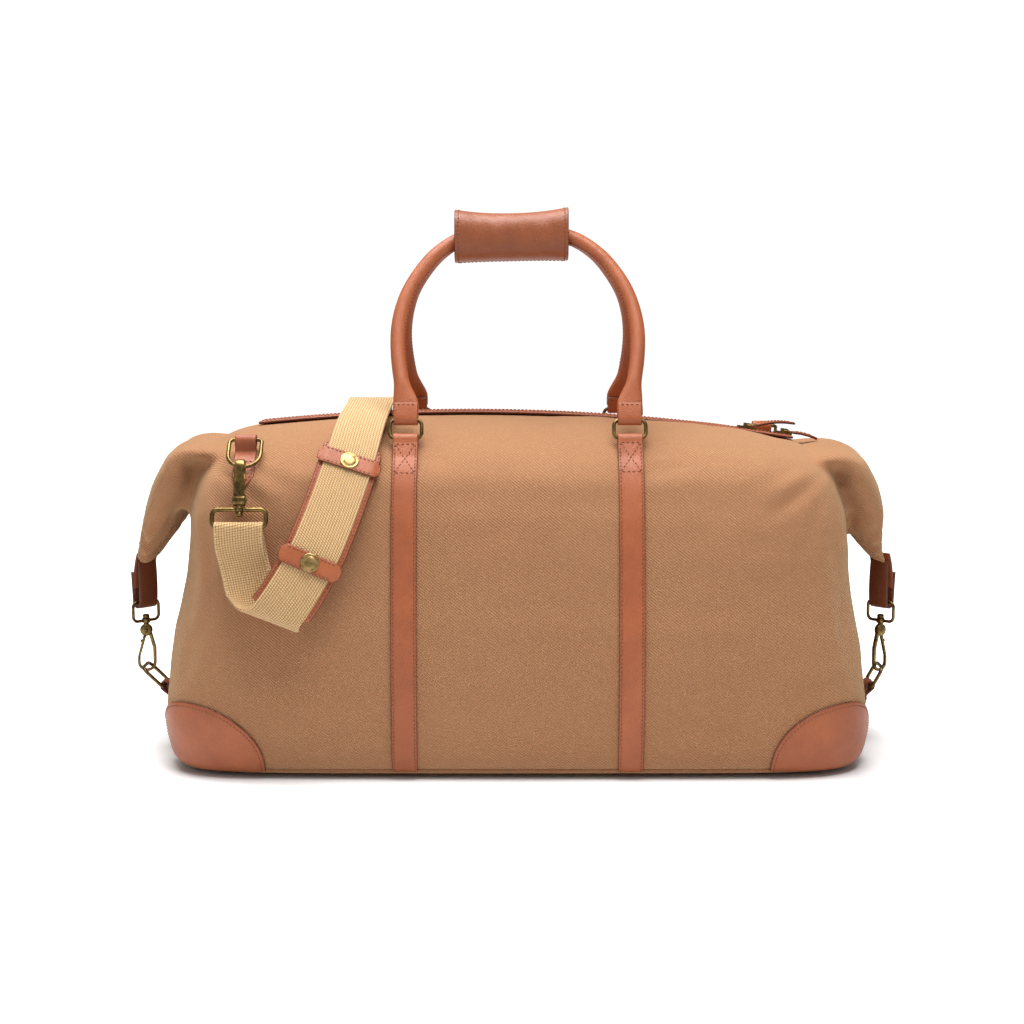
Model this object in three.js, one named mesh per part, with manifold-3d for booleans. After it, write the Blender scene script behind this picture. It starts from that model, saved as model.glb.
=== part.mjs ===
// Canvas and leather weekender bag, in millimetres, +Z up, front towards -Y.
// The origin is on the floor under the middle of the bag.

import * as THREE from 'three'
import { mergeVertices } from 'three/addons/utils/BufferGeometryUtils.js'
import Module from 'manifold-3d'

const wasm = await Module()
wasm.setup()

// ---------------------------------------------------------------- driving dimensions

const GAP = 0.3
const FOOT_HEIGHT = 5
const BODY_BOTTOM = FOOT_HEIGHT + GAP
const BODY_TOP = 282
const CANVAS = 3 // canvas with its lining and stiffener
const LEATHER = 2.2
const BASE_SEAM = 14 // height where the base panel ends
const END_SEAM = 238 // distance from the middle to an end panel's seam

// The stuffed body, level by level.
const LEVELS = [
  { z: BODY_BOTTOM, length: 244, depth: 104, square: 7, shift: 0 },
  { z: 7, length: 256, depth: 114, square: 7, shift: 0 },
  { z: 12, length: 266, depth: 120, square: 7, shift: 0 },
  { z: 24, length: 280, depth: 123.5, square: 7.5, shift: 0 },
  { z: 45, length: 288, depth: 126, square: 8, shift: 0 },
  { z: 80, length: 286, depth: 128, square: 8, shift: 0 },
  { z: 120, length: 279, depth: 126.5, square: 8, shift: 0 },
  { z: 170, length: 270, depth: 119.5, square: 9, shift: 0 },
  { z: 205, length: 262, depth: 113, square: 9, shift: 0 },
  { z: 235, length: 253, depth: 103, square: 9, shift: 0 },
  { z: 250, length: 249, depth: 90, square: 7, shift: -1 },
  { z: 262, length: 231, depth: 75, square: 5, shift: -16 },
  { z: 272, length: 182, depth: 57, square: 4, shift: -32 },
  { z: 279, length: 101, depth: 34, square: 3, shift: -40 },
  { z: 281.6, length: 37, depth: 12, square: 2.5, shift: -40 },
  { z: BODY_TOP, length: 5, depth: 2, square: 2, shift: -40 },
]
const RING_POINTS = 28
const CORNER_STEPS = 3 // faces round a ring's corner

// The zip lies on an arc in the XZ plane, so its sliders can ride along it.
const ZIP_RADIUS = 1700
const ZIP_CREST = -40
const ZIP_LEFT = -214
const ZIP_RIGHT = 228
const ZIP_HALF_WIDTH = 12.2
const PULL_LIFT = 3.1 // of a pull's hinge above its slider's plate
const SLIDER_PLACES = { inner: 190, outer: 221 }

// Vertical leather straps, the rings on them, and the two rolled handles.
const STRAP_X = 88.5
const STRAP_WIDTH = 20
const LOOP_WIDTH = 18
const RING_LOW = { y: -80.5, z: 265.5 } // axis of a ring's lower bar
const RING_RISE = 16 // between a ring's two bars
const HANDLE_TOP = { y: -6.4, z: 430 }
const HANDLE_LEAN = Math.atan((HANDLE_TOP.y - RING_LOW.y) / (HANDLE_TOP.z - RING_LOW.z))
const HANDLE_RADIUS = 5.75
const GRIP_CENTRE = -5
const GRIP_LENGTH = 93
const GRIP_HEIGHT = 37
const GRIP_MIDDLE = 427
const GRIP_DEPTH = 20 // of either half

// Wings: the folded top corners, each held down by a tab, a ring and a snap hook.
const WING_REACH = { left: 3.5, right: -3.5 } // how much further out than the mean each hangs
const TAB_X = 310
const TAB_TURN = THREE.MathUtils.degToRad(45)
const TAB_WIDTH = 18
const TAB_TOP = 153.5
const TAB_HOLE_Z = 122
const WING_RING = { width: 25, height: 16.5, wire: 1.3, corner: 3 }
const SWIVEL_Z = 105.5 // lower bar of the wing's ring
const WING_HOOK = { head: 5.2, width: 13.5, height: 34.5, nose: 9, wire: 2.4, depth: 3.2 }
const WING_HOOK_TURN = { left: 0, right: THREE.MathUtils.degToRad(35) }
const END_RING = { width: 27, wire: 1.5, corner: 5 }
const END_RING_OUTER = { left: { x: 314.8, z: 67.2 }, right: { x: 306.7, z: 67.2 } }
const END_RING_INNER = { x: 297.6, z: 50.6 }

// Shoulder strap hardware: tab, D-ring, trigger hook and loop.
const CLIP_X = -214.5
const D_RING = { width: 25.5, wire: 1.5, corner: 6 }
const D_RING_BAR = { y: -79, z: 264.5 }
const D_RING_BOW = { y: -98.5, z: 245 }
const TRIGGER = { head: 4.6, width: 10.6, height: 31, nose: 8, wire: 2.4, depth: 8.5 }
const TRIGGER_HEAD = { y: -118.5, z: 221 }
const TRIGGER_LEAN = Math.atan2(D_RING_BOW.y - TRIGGER_HEAD.y, 252 - TRIGGER_HEAD.z) * 0.55
const LOOP = { width: 41.6, height: 14, wire: 1.7, corner: 4 }
const WEBBING_WIDTH = 38
const WEBBING = 2.2
const PAD_WIDTH = 46.6
const PAD = 3
const BAND_WIDTH = 15
const SNAP_RADIUS = 7.4

const FOOT_X = 224
const FOOT_Y = 92

// ---------------------------------------------------------------- materials

function material(name, color, roughness, metalness = 0) {
  return new THREE.MeshStandardMaterial({ name, color, roughness, metalness })
}

const canvas = () => material('canvas', 0xb8925f, 0.9)
const leather = () => material('leather', 0xa65a33, 0.55)
const brass = () => material('brass', 0x8a7443, 0.4, 0.9)
const webbing = () => material('webbing', 0xd9bd82, 0.9)
const board = () => material('board', 0x3a332b, 0.8)

// ---------------------------------------------------------------- geometry helpers

const vec = (x, y, z) => new THREE.Vector3(x, y, z)

// Skins a row of sections, each a loop of points, into one closed solid.
function loft(sections, closed = false) {
  const count = sections[0].length
  const position = []
  const index = []
  for (const section of sections) {
    for (const point of section) position.push(point.x, point.y, point.z)
  }
  const spans = closed ? sections.length : sections.length - 1
  for (let s = 0; s < spans; s++) {
    const here = s * count
    const next = ((s + 1) % sections.length) * count
    for (let k = 0; k < count; k++) {
      const l = (k + 1) % count
      index.push(here + k, here + l, next + l, here + k, next + l, next + k)
    }
  }
  if (!closed) {
    for (const [start, turned] of [[0, true], [(sections.length - 1) * count, false]]) {
      for (let k = 1; k < count - 1; k++) {
        const fan = [start, start + k, start + k + 1]
        index.push(...(turned ? fan.reverse() : fan))
      }
    }
  }
  const geometry = new THREE.BufferGeometry()
  geometry.setAttribute('position', new THREE.Float32BufferAttribute(position, 3))
  geometry.setIndex(index)
  return outward(geometry)
}

// Turns the faces round if they point inwards.
function outward(geometry) {
  const p = geometry.getAttribute('position')
  const index = geometry.getIndex()
  const [a, b, c] = [vec(), vec(), vec()]
  let volume = 0
  for (let i = 0; i < index.count; i += 3) {
    a.fromBufferAttribute(p, index.getX(i))
    b.fromBufferAttribute(p, index.getX(i + 1))
    c.fromBufferAttribute(p, index.getX(i + 2))
    volume += a.dot(b.cross(c))
  }
  if (volume < 0) {
    for (let i = 0; i < index.count; i += 3) {
      const second = index.getX(i + 1)
      index.setX(i + 1, index.getX(i + 2))
      index.setX(i + 2, second)
    }
  }
  return geometry
}

function solid(geometry) {
  const bare = geometry.clone()
  for (const name of Object.keys(bare.attributes)) {
    if (name !== 'position') bare.deleteAttribute(name)
  }
  const merged = mergeVertices(bare, 1e-4)
  return new wasm.Manifold(new wasm.Mesh({
    numProp: 3,
    vertProperties: Float32Array.from(merged.getAttribute('position').array),
    triVerts: Uint32Array.from(merged.getIndex().array),
  }))
}

function surface(body) {
  const mesh = body.getMesh()
  const geometry = new THREE.BufferGeometry()
  geometry.setAttribute('position', new THREE.BufferAttribute(mesh.vertProperties, 3))
  geometry.setIndex(new THREE.BufferAttribute(mesh.triVerts, 1))
  return geometry
}

function box(low, high) {
  const size = high.clone().sub(low)
  const geometry = new THREE.BoxGeometry(size.x, size.y, size.z)
  const middle = low.clone().add(high).multiplyScalar(0.5)
  return solid(geometry.translate(middle.x, middle.y, middle.z))
}

// A cylinder along the given direction, centred on the given point.
function rod(centre, direction, radius, length, sides = 12) {
  const geometry = new THREE.CylinderGeometry(radius, radius, length, sides)
  const turn = new THREE.Quaternion().setFromUnitVectors(vec(0, 1, 0), direction.clone().normalize())
  return solid(geometry.applyQuaternion(turn).translate(centre.x, centre.y, centre.z))
}

// Sweeps a section along points that all lie in one plane; normal is that plane's normal.
// The section is given in pairs: along the normal, then across it.
function sweepInPlane(points, normal, section, closed = false) {
  const last = points.length - 1
  const sections = points.map((point, k) => {
    const before = points[closed ? (k + last) % (last + 1) : Math.max(k - 1, 0)]
    const after = points[closed ? (k + 1) % (last + 1) : Math.min(k + 1, last)]
    const across = after.clone().sub(before).normalize().cross(normal)
    return section(k / last).map(([n, a]) => {
      return point.clone().addScaledVector(normal, n).addScaledVector(across, a)
    })
  })
  return loft(sections, closed)
}

function circle(radius, sides) {
  return Array.from({ length: sides }, (_, k) => {
    const angle = (2 * Math.PI * k) / sides
    return [radius * Math.cos(angle), radius * Math.sin(angle)]
  })
}

function rectangle(along, across) {
  return [[-along / 2, -across / 2], [along / 2, -across / 2], [along / 2, across / 2], [-along / 2, across / 2]]
}

// A loop of wire with rounded corners, from 2-D sizes, placed by a function of (across, up).
function wireLoop({ width, wire, corner }, height, place, normal) {
  const path = new THREE.Path()
  const right = width / 2
  path.moveTo(-right + corner, 0)
  path.lineTo(right - corner, 0)
  path.absarc(right - corner, corner, corner, -Math.PI / 2, 0)
  path.lineTo(right, height - corner)
  path.absarc(right - corner, height - corner, corner, 0, Math.PI / 2)
  path.lineTo(-right + corner, height)
  path.absarc(-right + corner, height - corner, corner, Math.PI / 2, Math.PI)
  path.lineTo(-right, corner)
  path.absarc(-right + corner, corner, corner, Math.PI, 1.5 * Math.PI)
  const flat = path.getPoints(CORNER_STEPS / 2)
  const points = flat.filter((p, k) => k === 0 || p.distanceTo(flat[k - 1]) > 1e-3)
  if (points[0].distanceTo(points.at(-1)) < 1e-3) points.pop()
  return sweepInPlane(points.map((p) => place(p.x, p.y)), normal, () => circle(wire, 6), true)
}

// An outline drawn in the YZ plane, given thickness along X about the given centre.
function plateYZ(outline, centre, thickness) {
  const shape = new THREE.Shape(outline.map(([y, z]) => new THREE.Vector2(y, z)))
  const geometry = new THREE.ExtrudeGeometry(shape, { depth: thickness, bevelEnabled: false })
  const frame = new THREE.Matrix4().makeBasis(vec(0, 1, 0), vec(0, 0, 1), vec(1, 0, 0))
  return geometry.applyMatrix4(frame).translate(centre - thickness / 2, 0, 0)
}

// An outline drawn in the XZ plane, given thickness along Y between the two places.
function plateXZ(outline, front, back) {
  const shape = new THREE.Shape(outline.map(([x, z]) => new THREE.Vector2(x, z)))
  const geometry = new THREE.ExtrudeGeometry(shape, { depth: back - front, bevelEnabled: false })
  const frame = new THREE.Matrix4().makeBasis(vec(1, 0, 0), vec(0, 0, 1), vec(0, -1, 0))
  return geometry.applyMatrix4(frame).translate(0, back, 0)
}

// Copies of a solid turned half a turn about the vertical axis, or seen in a mirror.
const aboutZ = (geometry) => geometry.clone().rotateZ(Math.PI)

function mirrored(geometry, x, y) {
  const copy = geometry.index ? geometry.clone() : mergeVertices(geometry.clone())
  return outward(copy.scale(x, y, 1))
}

// ---------------------------------------------------------------- the body's outer form

function between(z, key) {
  const above = LEVELS.findIndex((level) => level.z >= z - 1e-6)
  if (above <= 0) return LEVELS[0][key]
  const [low, high] = [LEVELS[above - 1], LEVELS[above]]
  return THREE.MathUtils.mapLinear(z, low.z, high.z, low[key], high[key])
}

// The whole body as one solid, grown or shrunk all round by the given amount.
function bodyForm(grow) {
  const stretch = (BODY_TOP - BODY_BOTTOM + 2 * grow) / (BODY_TOP - BODY_BOTTOM)
  const sections = LEVELS.map((level) => {
    const length = Math.max(level.length + grow, 1)
    const depth = Math.max(level.depth + grow, 0.5)
    const power = 2 / level.square
    const height = BODY_BOTTOM - grow + (level.z - BODY_BOTTOM) * stretch
    return Array.from({ length: RING_POINTS }, (_, k) => {
      const angle = (2 * Math.PI * (k + 0.5)) / RING_POINTS
      const [c, s] = [Math.cos(angle), Math.sin(angle)]
      const x = Math.sign(c) * Math.abs(c) ** power * length + level.shift
      return vec(x, Math.sign(s) * Math.abs(s) ** power * depth, height)
    })
  })
  return solid(loft(sections))
}

const body = bodyForm(0)
const clearBody = bodyForm(GAP)
const skinBody = bodyForm(GAP + 2)

// How far the front surface stands from the middle plane at a place.
function surfaceDepth(x, z) {
  const length = between(z, 'length')
  const offset = Math.min(Math.abs(x - between(z, 'shift')) / length, 0.999)
  const square = between(z, 'square')
  return between(z, 'depth') * (1 - offset ** square) ** (1 / square)
}

const zipHeight = (x) => BODY_TOP - (x - ZIP_CREST) ** 2 / (2 * ZIP_RADIUS)

// ---------------------------------------------------------------- canvas body

function panels() {
  const far = 400
  const slot = box(vec(ZIP_LEFT - 2, -ZIP_HALF_WIDTH - 0.4, 200), vec(ZIP_RIGHT + 2, ZIP_HALF_WIDTH + 0.4, far))
  const shell = body.subtract(bodyForm(-CANVAS)).subtract(slot)
  const above = BASE_SEAM + GAP
  const inner = END_SEAM - GAP
  const bead = bodyForm(2).intersect(box(vec(-far, -far, 6), vec(far, far, 10)))
    .subtract(bodyForm(-1))
  const base = shell.intersect(box(vec(-far, -far, 0), vec(far, far, BASE_SEAM))).add(bead)
  return {
    front_panel: shell.intersect(box(vec(-inner, -far, above), vec(inner, -GAP / 2, far))),
    back_panel: shell.intersect(box(vec(-inner, GAP / 2, above), vec(inner, far, far))),
    left_end_panel: shell.intersect(box(vec(-far, -far, above), vec(-END_SEAM, far, far))),
    right_end_panel: shell.intersect(box(vec(END_SEAM, -far, above), vec(far, far, far))),
    base_panel: base,
  }
}

function baseBoard() {
  return box(vec(-224, -93, 9), vec(224, 93, 12))
}

// A leather patch over a lower corner; x and y are the corner's signs.
function cornerPatch(x, y) {
  const reach = new THREE.SphereGeometry(1, 24, 16).scale(68, 68, 50).translate(262 * x, 116 * y, 10)
  const band = box(vec(-400, -400, 10 + 2 * GAP), vec(400, 400, 100))
  return skinBody.subtract(clearBody).intersect(solid(reach)).intersect(band)
}

function foot(x, y) {
  const profile = [[0, 0], [3.2, 0], [4.2, 1], [4.6, 2.6], [4, FOOT_HEIGHT], [0, FOOT_HEIGHT]]
  const points = profile.map(([r, z]) => new THREE.Vector2(r, z))
  const geometry = new THREE.LatheGeometry(points, 14).rotateX(Math.PI / 2)
  return mergeVertices(strip(geometry)).translate(x, y, 0)
}

function strip(geometry) {
  for (const name of ['uv', 'normal']) geometry.deleteAttribute(name)
  return geometry
}

// ---------------------------------------------------------------- vertical straps and handles

// A strap up the front of the body at the given place, with a loop for its ring at the top.
function verticalStrap(x) {
  const [low, top] = [11, 259]
  const heights = [low, ...LEVELS.map((level) => level.z).filter((z) => z > low && z < top), top]
  const outline = heights.map((z) => [-surfaceDepth(x, z) - LEATHER - GAP - 0.6, z])
  outline.push([RING_LOW.y - 4.4, RING_LOW.z], [RING_LOW.y + 4.4, RING_LOW.z + 2])
  outline.push(...heights.reverse().map((z) => [-surfaceDepth(x, z) + 4, z]))
  const axis = vec(1, 0, 0)
  const centre = vec(x, RING_LOW.y, RING_LOW.z)
  const outer = rod(centre, axis, 4.6, LOOP_WIDTH)
  const spaces = box(vec(x - 30, -200, RING_LOW.z - 6), vec(x - LOOP_WIDTH / 2, 0, 300))
    .add(box(vec(x + LOOP_WIDTH / 2, -200, RING_LOW.z - 6), vec(x + 30, 0, 300)))
  return solid(plateYZ(outline, x, STRAP_WIDTH)).subtract(spaces).add(outer)
    .subtract(rod(centre, axis, 2.4, 60)).subtract(clearBody)
}

const handlePlane = {
  normal: vec(0, Math.cos(HANDLE_LEAN), -Math.sin(HANDLE_LEAN)),
  place: (x, z) => vec(x, RING_LOW.y + (z - RING_LOW.z) * Math.tan(HANDLE_LEAN), z),
}
const RING_HIGH = handlePlane.place(0, RING_LOW.z + RING_RISE * Math.cos(HANDLE_LEAN))

function handleRing(x) {
  const up = Math.cos(HANDLE_LEAN)
  const place = (across, rise) => handlePlane.place(x + across, RING_LOW.z + rise * up)
  return wireLoop({ width: 25.2, wire: 1.4, corner: 3.2 }, RING_RISE, place, handlePlane.normal)
}

// A rolled handle: an arch with flat ends, each looped over its ring's upper bar.
function handle() {
  const side = [[STRAP_X, 292], [92.5, 310], [95.5, 330], [96, 348], [93.5, 365], [88, 381], [79, 396]]
  const rising = [...side, [66, 411], [48, 423], [26, 429], [0, HANDLE_TOP.z]]
  const falling = rising.slice(0, -1).reverse().map(([x, z]) => [x, z])
  const ends = [...rising.map(([x, z]) => [-x, z]), ...falling]
  const curve = new THREE.CatmullRomCurve3(ends.map(([x, z]) => handlePlane.place(x, z)))
  const section = (u) => {
    const flat = THREE.MathUtils.smoothstep(Math.abs(u - 0.5) * 2, 0.86, 1)
    return circle(HANDLE_RADIUS, 9).map(([n, a]) => [n * (1 - 0.35 * flat), a * (1 + 0.85 * flat)])
  }
  let shape = solid(sweepInPlane(curve.getPoints(24), handlePlane.normal, section))
  for (const x of [-STRAP_X, STRAP_X]) {
    const centre = vec(x, RING_HIGH.y, RING_HIGH.z)
    const lean = new THREE.Matrix4().makeRotationX(-HANDLE_LEAN)
    const block = new THREE.BoxGeometry(LOOP_WIDTH + 1.5, 7.4, 14).translate(0, 0, 7)
    const placed = solid(block.applyMatrix4(lean).translate(centre.x, centre.y, centre.z))
    shape = shape.add(placed).add(rod(centre, vec(1, 0, 0), 4.3, LOOP_WIDTH + 1.5))
      .subtract(rod(centre, vec(1, 0, 0), 2.3, 60))
  }
  return shape
}

// Half of the leather wrap that joins the two handles, closed by hidden snaps.
function gripHalf() {
  const points = []
  for (let k = 0; k <= 14; k++) {
    const angle = Math.PI / 2 + (Math.PI * k) / 14
    const round = [Math.cos(angle), Math.sin(angle)].map((v) => Math.sign(v) * Math.abs(v) ** 0.6)
    points.push([-GAP / 2 + round[0] * GRIP_DEPTH, GRIP_MIDDLE + round[1] * (GRIP_HEIGHT / 2)])
  }
  const outer = solid(plateYZ(points, GRIP_CENTRE, GRIP_LENGTH))
  const thin = 1 - LEATHER / 1.3 / GRIP_DEPTH
  const inner = points.map(([y, z]) => {
    return [y * thin + 1, GRIP_MIDDLE + (z - GRIP_MIDDLE) * thin]
  })
  return outer.subtract(solid(plateYZ(inner, GRIP_CENTRE, GRIP_LENGTH + 10)))
}

// ---------------------------------------------------------------- zip

// One half of the closed zip: leather trim, tape and its row of teeth, on the zip's arc.
function zipHalf() {
  const along = Array.from({ length: 13 }, (_, k) => ZIP_LEFT + ((ZIP_RIGHT - ZIP_LEFT) * k) / 12)
  const ribbon = (low, high) => [
    ...along.map((x) => [x, zipHeight(x) + low]),
    ...along.slice().reverse().map((x) => [x, zipHeight(x) + high]),
  ]
  const trim = solid(plateXZ(ribbon(-1.6, 1.4), -ZIP_HALF_WIDTH, -4.4))
  const tape = solid(plateXZ(ribbon(-1.6, 0), -4.6, -GAP / 2))
  const teeth = solid(plateXZ(ribbon(-1.6, 1.1), -2.2, -GAP / 2))
  return trim.add(tape).add(teeth)
}

// Places something drawn about the middle of the zip's crest at a distance along the zip.
function onZip(geometry, x) {
  const angle = Math.asin((x - ZIP_CREST) / ZIP_RADIUS)
  return geometry.translate(0, 0, ZIP_RADIUS).rotateY(angle).translate(ZIP_CREST, 0, BODY_TOP - ZIP_RADIUS)
}

function zipSlider(x) {
  const low = 1.1 + GAP
  const plate = [[-7, low], [7, low], [7, low + 2], [3.5, low + 2], [3.5, low + 4.6], [-2, low + 4.6]]
  plate.push([-2, low + 2], [-7, low + 2])
  const main = solid(plateXZ(plate, -3.9, 3.9))
  const hole = rod(vec(1, 0, low + PULL_LIFT), vec(0, 1, 0), 0.9, 20, 12)
  return onZip(surface(main.subtract(hole)), x)
}

// A leather pull: its fork straddles the slider's lug, and its strip lies towards the end.
function zipPull(length, drop, aside) {
  const low = 1.1 + GAP
  const fork = solid(plateXZ([[-1, -1.3], [12, -1.3], [12, 1.3], [-1, 1.3]], -6.6, 6.6))
    .subtract(box(vec(-4, -4.3, -5), vec(7.5, 4.3, 5)))
  const outline = [[9, -1.1], [length - 6, -1.1], [length, 0], [length - 6, 1.4], [9, 1.4]]
  const tongue = plateXZ(outline, -4.2, 4.2).translate(-9, 0, 0).rotateZ(aside).translate(9, 0, 0)
  return surface(fork.add(solid(tongue))).rotateY(drop).translate(1, 0, low + PULL_LIFT)
}

// ---------------------------------------------------------------- wings and their snap hooks

// Centre line of a wing in the XZ plane with half its thickness and half its width.
const WING_LINE = [
  { x: 279.3, z: 247.3, thick: 12.5, wide: 86, turn: 45 },
  { x: 281, z: 228, thick: 15, wide: 80, turn: 8 },
  { x: 287, z: 207, thick: 14.5, wide: 62, turn: -20 },
  { x: 296, z: 182, thick: 12.5, wide: 38, turn: -24 },
  { x: 303.5, z: 165, thick: 8.5, wide: 20, turn: -22 },
  { x: 306.5, z: 157, thick: 6.5, wide: 13, turn: -20 },
]

function wing(reach) {
  const keys = new THREE.CatmullRomCurve3(WING_LINE.map((w) => vec(w.x, w.turn, w.z)))
  const sizes = new THREE.CatmullRomCurve3(WING_LINE.map((w) => vec(w.thick, w.wide, 0)))
  const steps = 9
  const sections = Array.from({ length: steps + 1 }, (_, k) => {
    const [key, size] = [keys.getPoint(k / steps), sizes.getPoint(k / steps)]
    const angle = THREE.MathUtils.degToRad(key.y)
    const outer = vec(Math.cos(angle), 0, Math.sin(angle))
    const out = reach * THREE.MathUtils.smoothstep(-key.z, -240, -180)
    return Array.from({ length: 16 }, (_, j) => {
      const t = (2 * Math.PI * (j + 0.5)) / 16
      const [c, s] = [Math.cos(t), Math.sin(t)]
      const point = vec(key.x + out, Math.sign(s) * Math.abs(s) ** 0.6 * size.y, key.z)
      return point.addScaledVector(outer, Math.sign(c) * Math.abs(c) ** 0.6 * size.x)
    })
  })
  return loft(sections)
}

// Turns something drawn about the hanging line to its place under a right-hand wing.
function underWing(geometry, reach, turn) {
  return geometry.rotateZ(turn).translate(TAB_X + reach, 0, 0)
}

// The folded leather tab: a long ply inside, a loop for the ring, a short tail outside.
function wingTab() {
  const hole = TAB_HOLE_Z
  const ply = [[-6, TAB_TOP], [-6, hole], [-2.6, hole], [-2.6, 134], [1.6, TAB_TOP]]
  const tail = [[2.2, hole], [6, hole], [7, 146], [4.4, 146], [-3, 132]]
  const drawn = solid(plateXZ(ply, -TAB_WIDTH / 2, TAB_WIDTH / 2))
    .add(solid(plateXZ(tail, -TAB_WIDTH / 2, TAB_WIDTH / 2)))
    .add(rod(vec(0, 0, hole), vec(0, 1, 0), 6, TAB_WIDTH, 28))
  return surface(drawn.subtract(rod(vec(0, 0, hole), vec(0, 1, 0), 3.1, 60)))
}

// A ring with a swivel boss on its lower bar; the bar is at height zero.
function swivelRing(size) {
  const loop = solid(wireLoop(size, size.height, (across, up) => vec(0, across, up), vec(1, 0, 0)))
  const bore = rod(vec(0, 0, 0), vec(0, 0, 1), 1.9, 20)
  return surface(loop.add(rod(vec(0, 0, 0), vec(0, 0, 1), 3.4, 3.6)).subtract(bore))
}

// A snap hook drawn in the XZ plane about its gate's pivot, with its bow upwards.
// Below the head is the swivel post, ending in a rivet head.
function snapHook(size, postLength) {
  const half = size.width / 2
  const shoulder = size.height - half
  const path = new THREE.Path()
  path.moveTo(-size.head + 1.6, 0)
  path.lineTo(-half, shoulder)
  path.absarc(0, shoulder, half, Math.PI, 0, true)
  path.lineTo(half - 0.2, shoulder - size.nose * 0.5)
  const points = path.getPoints(5).map((p) => vec(p.x, 0, p.y))
  const across = vec(0, 1, 0)
  const bow = solid(sweepInPlane(points, across, () => rectangle(size.depth, size.wire)))
  const head = rod(vec(0, 0, 0), across, size.head, size.depth + 1.2, 24)
  const down = vec(0, 0, 1)
  const start = -size.head - postLength
  const post = rod(vec(0, 0, (start - 1) / 2), down, 1.5, -start - 1, 16)
  const rivet = rod(vec(0, 0, start - 1.6), down, 2.9, 3.4, 16)
  return surface(bow.add(head).add(post).add(rivet))
}

// The hook's gate, from beside the head to the end of the nose.
function snapGate(size) {
  const half = size.width / 2
  const shoulder = size.height - half
  const end = vec(half - 0.2, 0, shoulder - size.nose * 0.5 - 0.6)
  const aim = end.clone().normalize()
  const points = [aim.clone().multiplyScalar(size.head + GAP + 0.1), end]
  const section = () => rectangle(size.depth * 0.8, size.wire * 0.85)
  return sweepInPlane(points, vec(0, 1, 0), section)
}

function wingHookPlace(geometry, side) {
  const head = SWIVEL_Z - 1.8 - GAP - 0.7 - WING_HOOK.head
  return geometry.rotateX(Math.PI).rotateZ(WING_HOOK_TURN[side]).translate(TAB_X + WING_REACH[side], 0, head)
}

// The ring on a lower end panel, lying along its slope, and the leather anchor that holds it.
function endRing(side) {
  const outer = END_RING_OUTER[side]
  const rise = vec(outer.x - END_RING_INNER.x, 0, outer.z - END_RING_INNER.z)
  const length = rise.length()
  rise.normalize()
  const start = vec(END_RING_INNER.x, 0, END_RING_INNER.z)
  const place = (across, up) => start.clone().addScaledVector(rise, up).add(vec(0, across, 0))
  const normal = vec(-rise.z, 0, rise.x)
  return wireLoop(END_RING, length, place, normal)
}

function endAnchor() {
  const { x, z } = END_RING_INNER
  const outline = [[x + 3.4, z - 3], [x - 1.6, z - 16], [x - 8, z - 22], [x - 14, z - 20], [x - 14, z + 3]]
  outline.push([x - 2, z + 4.2])
  const tab = solid(plateXZ(outline, -8, 8)).add(rod(vec(x, 0, z), vec(0, 1, 0), 4.6, 16))
  return tab.subtract(rod(vec(x, 0, z), vec(0, 1, 0), 2.4, 60)).subtract(clearBody)
}

// ---------------------------------------------------------------- shoulder strap

// The leather tab under the D-ring: it follows the body's slope and ends in a point.
function strapTab() {
  const heights = [232, 240, 248, 256, 262]
  const outline = heights.map((z) => [-surfaceDepth(CLIP_X, z) - 3.6, z])
  outline.push([D_RING_BAR.y - 4, D_RING_BAR.z - 2], [D_RING_BAR.y + 2, D_RING_BAR.z + 4.4])
  outline.push([-surfaceDepth(CLIP_X, 262) + 4, 264])
  outline.push(...heights.slice().reverse().map((z) => [-surfaceDepth(CLIP_X, z) + 6, z]))
  const width = 17
  const axis = vec(1, 0, 0)
  const bar = vec(CLIP_X, D_RING_BAR.y, D_RING_BAR.z)
  return solid(plateYZ(outline, CLIP_X, width)).add(rod(bar, axis, 4.5, width))
    .subtract(rod(bar, axis, 2.4, 60)).subtract(clearBody)
}

function strapRing() {
  const down = vec(0, D_RING_BOW.y - D_RING_BAR.y, D_RING_BOW.z - D_RING_BAR.z)
  const length = down.length()
  down.normalize()
  const start = vec(CLIP_X, D_RING_BAR.y, D_RING_BAR.z)
  const place = (across, along) => start.clone().addScaledVector(down, along).add(vec(across, 0, 0))
  const path = new THREE.Path()
  const right = D_RING.width / 2
  const straight = length - right
  path.moveTo(-right + 3, 0)
  path.lineTo(right - 3, 0)
  path.absarc(right - 3, 3, 3, -Math.PI / 2, 0)
  path.absarc(0, straight, right, 0, Math.PI)
  path.absarc(-right + 3, 3, 3, Math.PI, 1.5 * Math.PI)
  const flat = path.getPoints(CORNER_STEPS)
  const points = flat.filter((p, k) => k === 0 || p.distanceTo(flat[k - 1]) > 1e-3)
  if (points[0].distanceTo(points.at(-1)) < 1e-3) points.pop()
  const normal = vec(0, -down.z, down.y)
  return sweepInPlane(points.map((p) => place(p.x, p.y)), normal, () => circle(D_RING.wire, 6), true)
}

// Turns a hook drawn about its gate's pivot to its place on the front D-ring.
function triggerPlace(geometry) {
  return geometry.rotateZ(Math.PI / 2).rotateX(-TRIGGER_LEAN)
    .translate(CLIP_X, TRIGGER_HEAD.y, TRIGGER_HEAD.z)
}

const swivelDrop = TRIGGER.head + GAP + 2.5
const triggerAxis = vec(0, Math.sin(TRIGGER_LEAN), Math.cos(TRIGGER_LEAN))
const loopTop = vec(CLIP_X, TRIGGER_HEAD.y, TRIGGER_HEAD.z).addScaledVector(triggerAxis, -swivelDrop)

function strapLoop() {
  const ring = swivelRing(LOOP)
  return ring.rotateZ(Math.PI / 2).rotateX(Math.PI - TRIGGER_LEAN)
    .translate(loopTop.x, loopTop.y, loopTop.z)
}

const loopBar = loopTop.clone().addScaledVector(triggerAxis, -LOOP.height)

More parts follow.
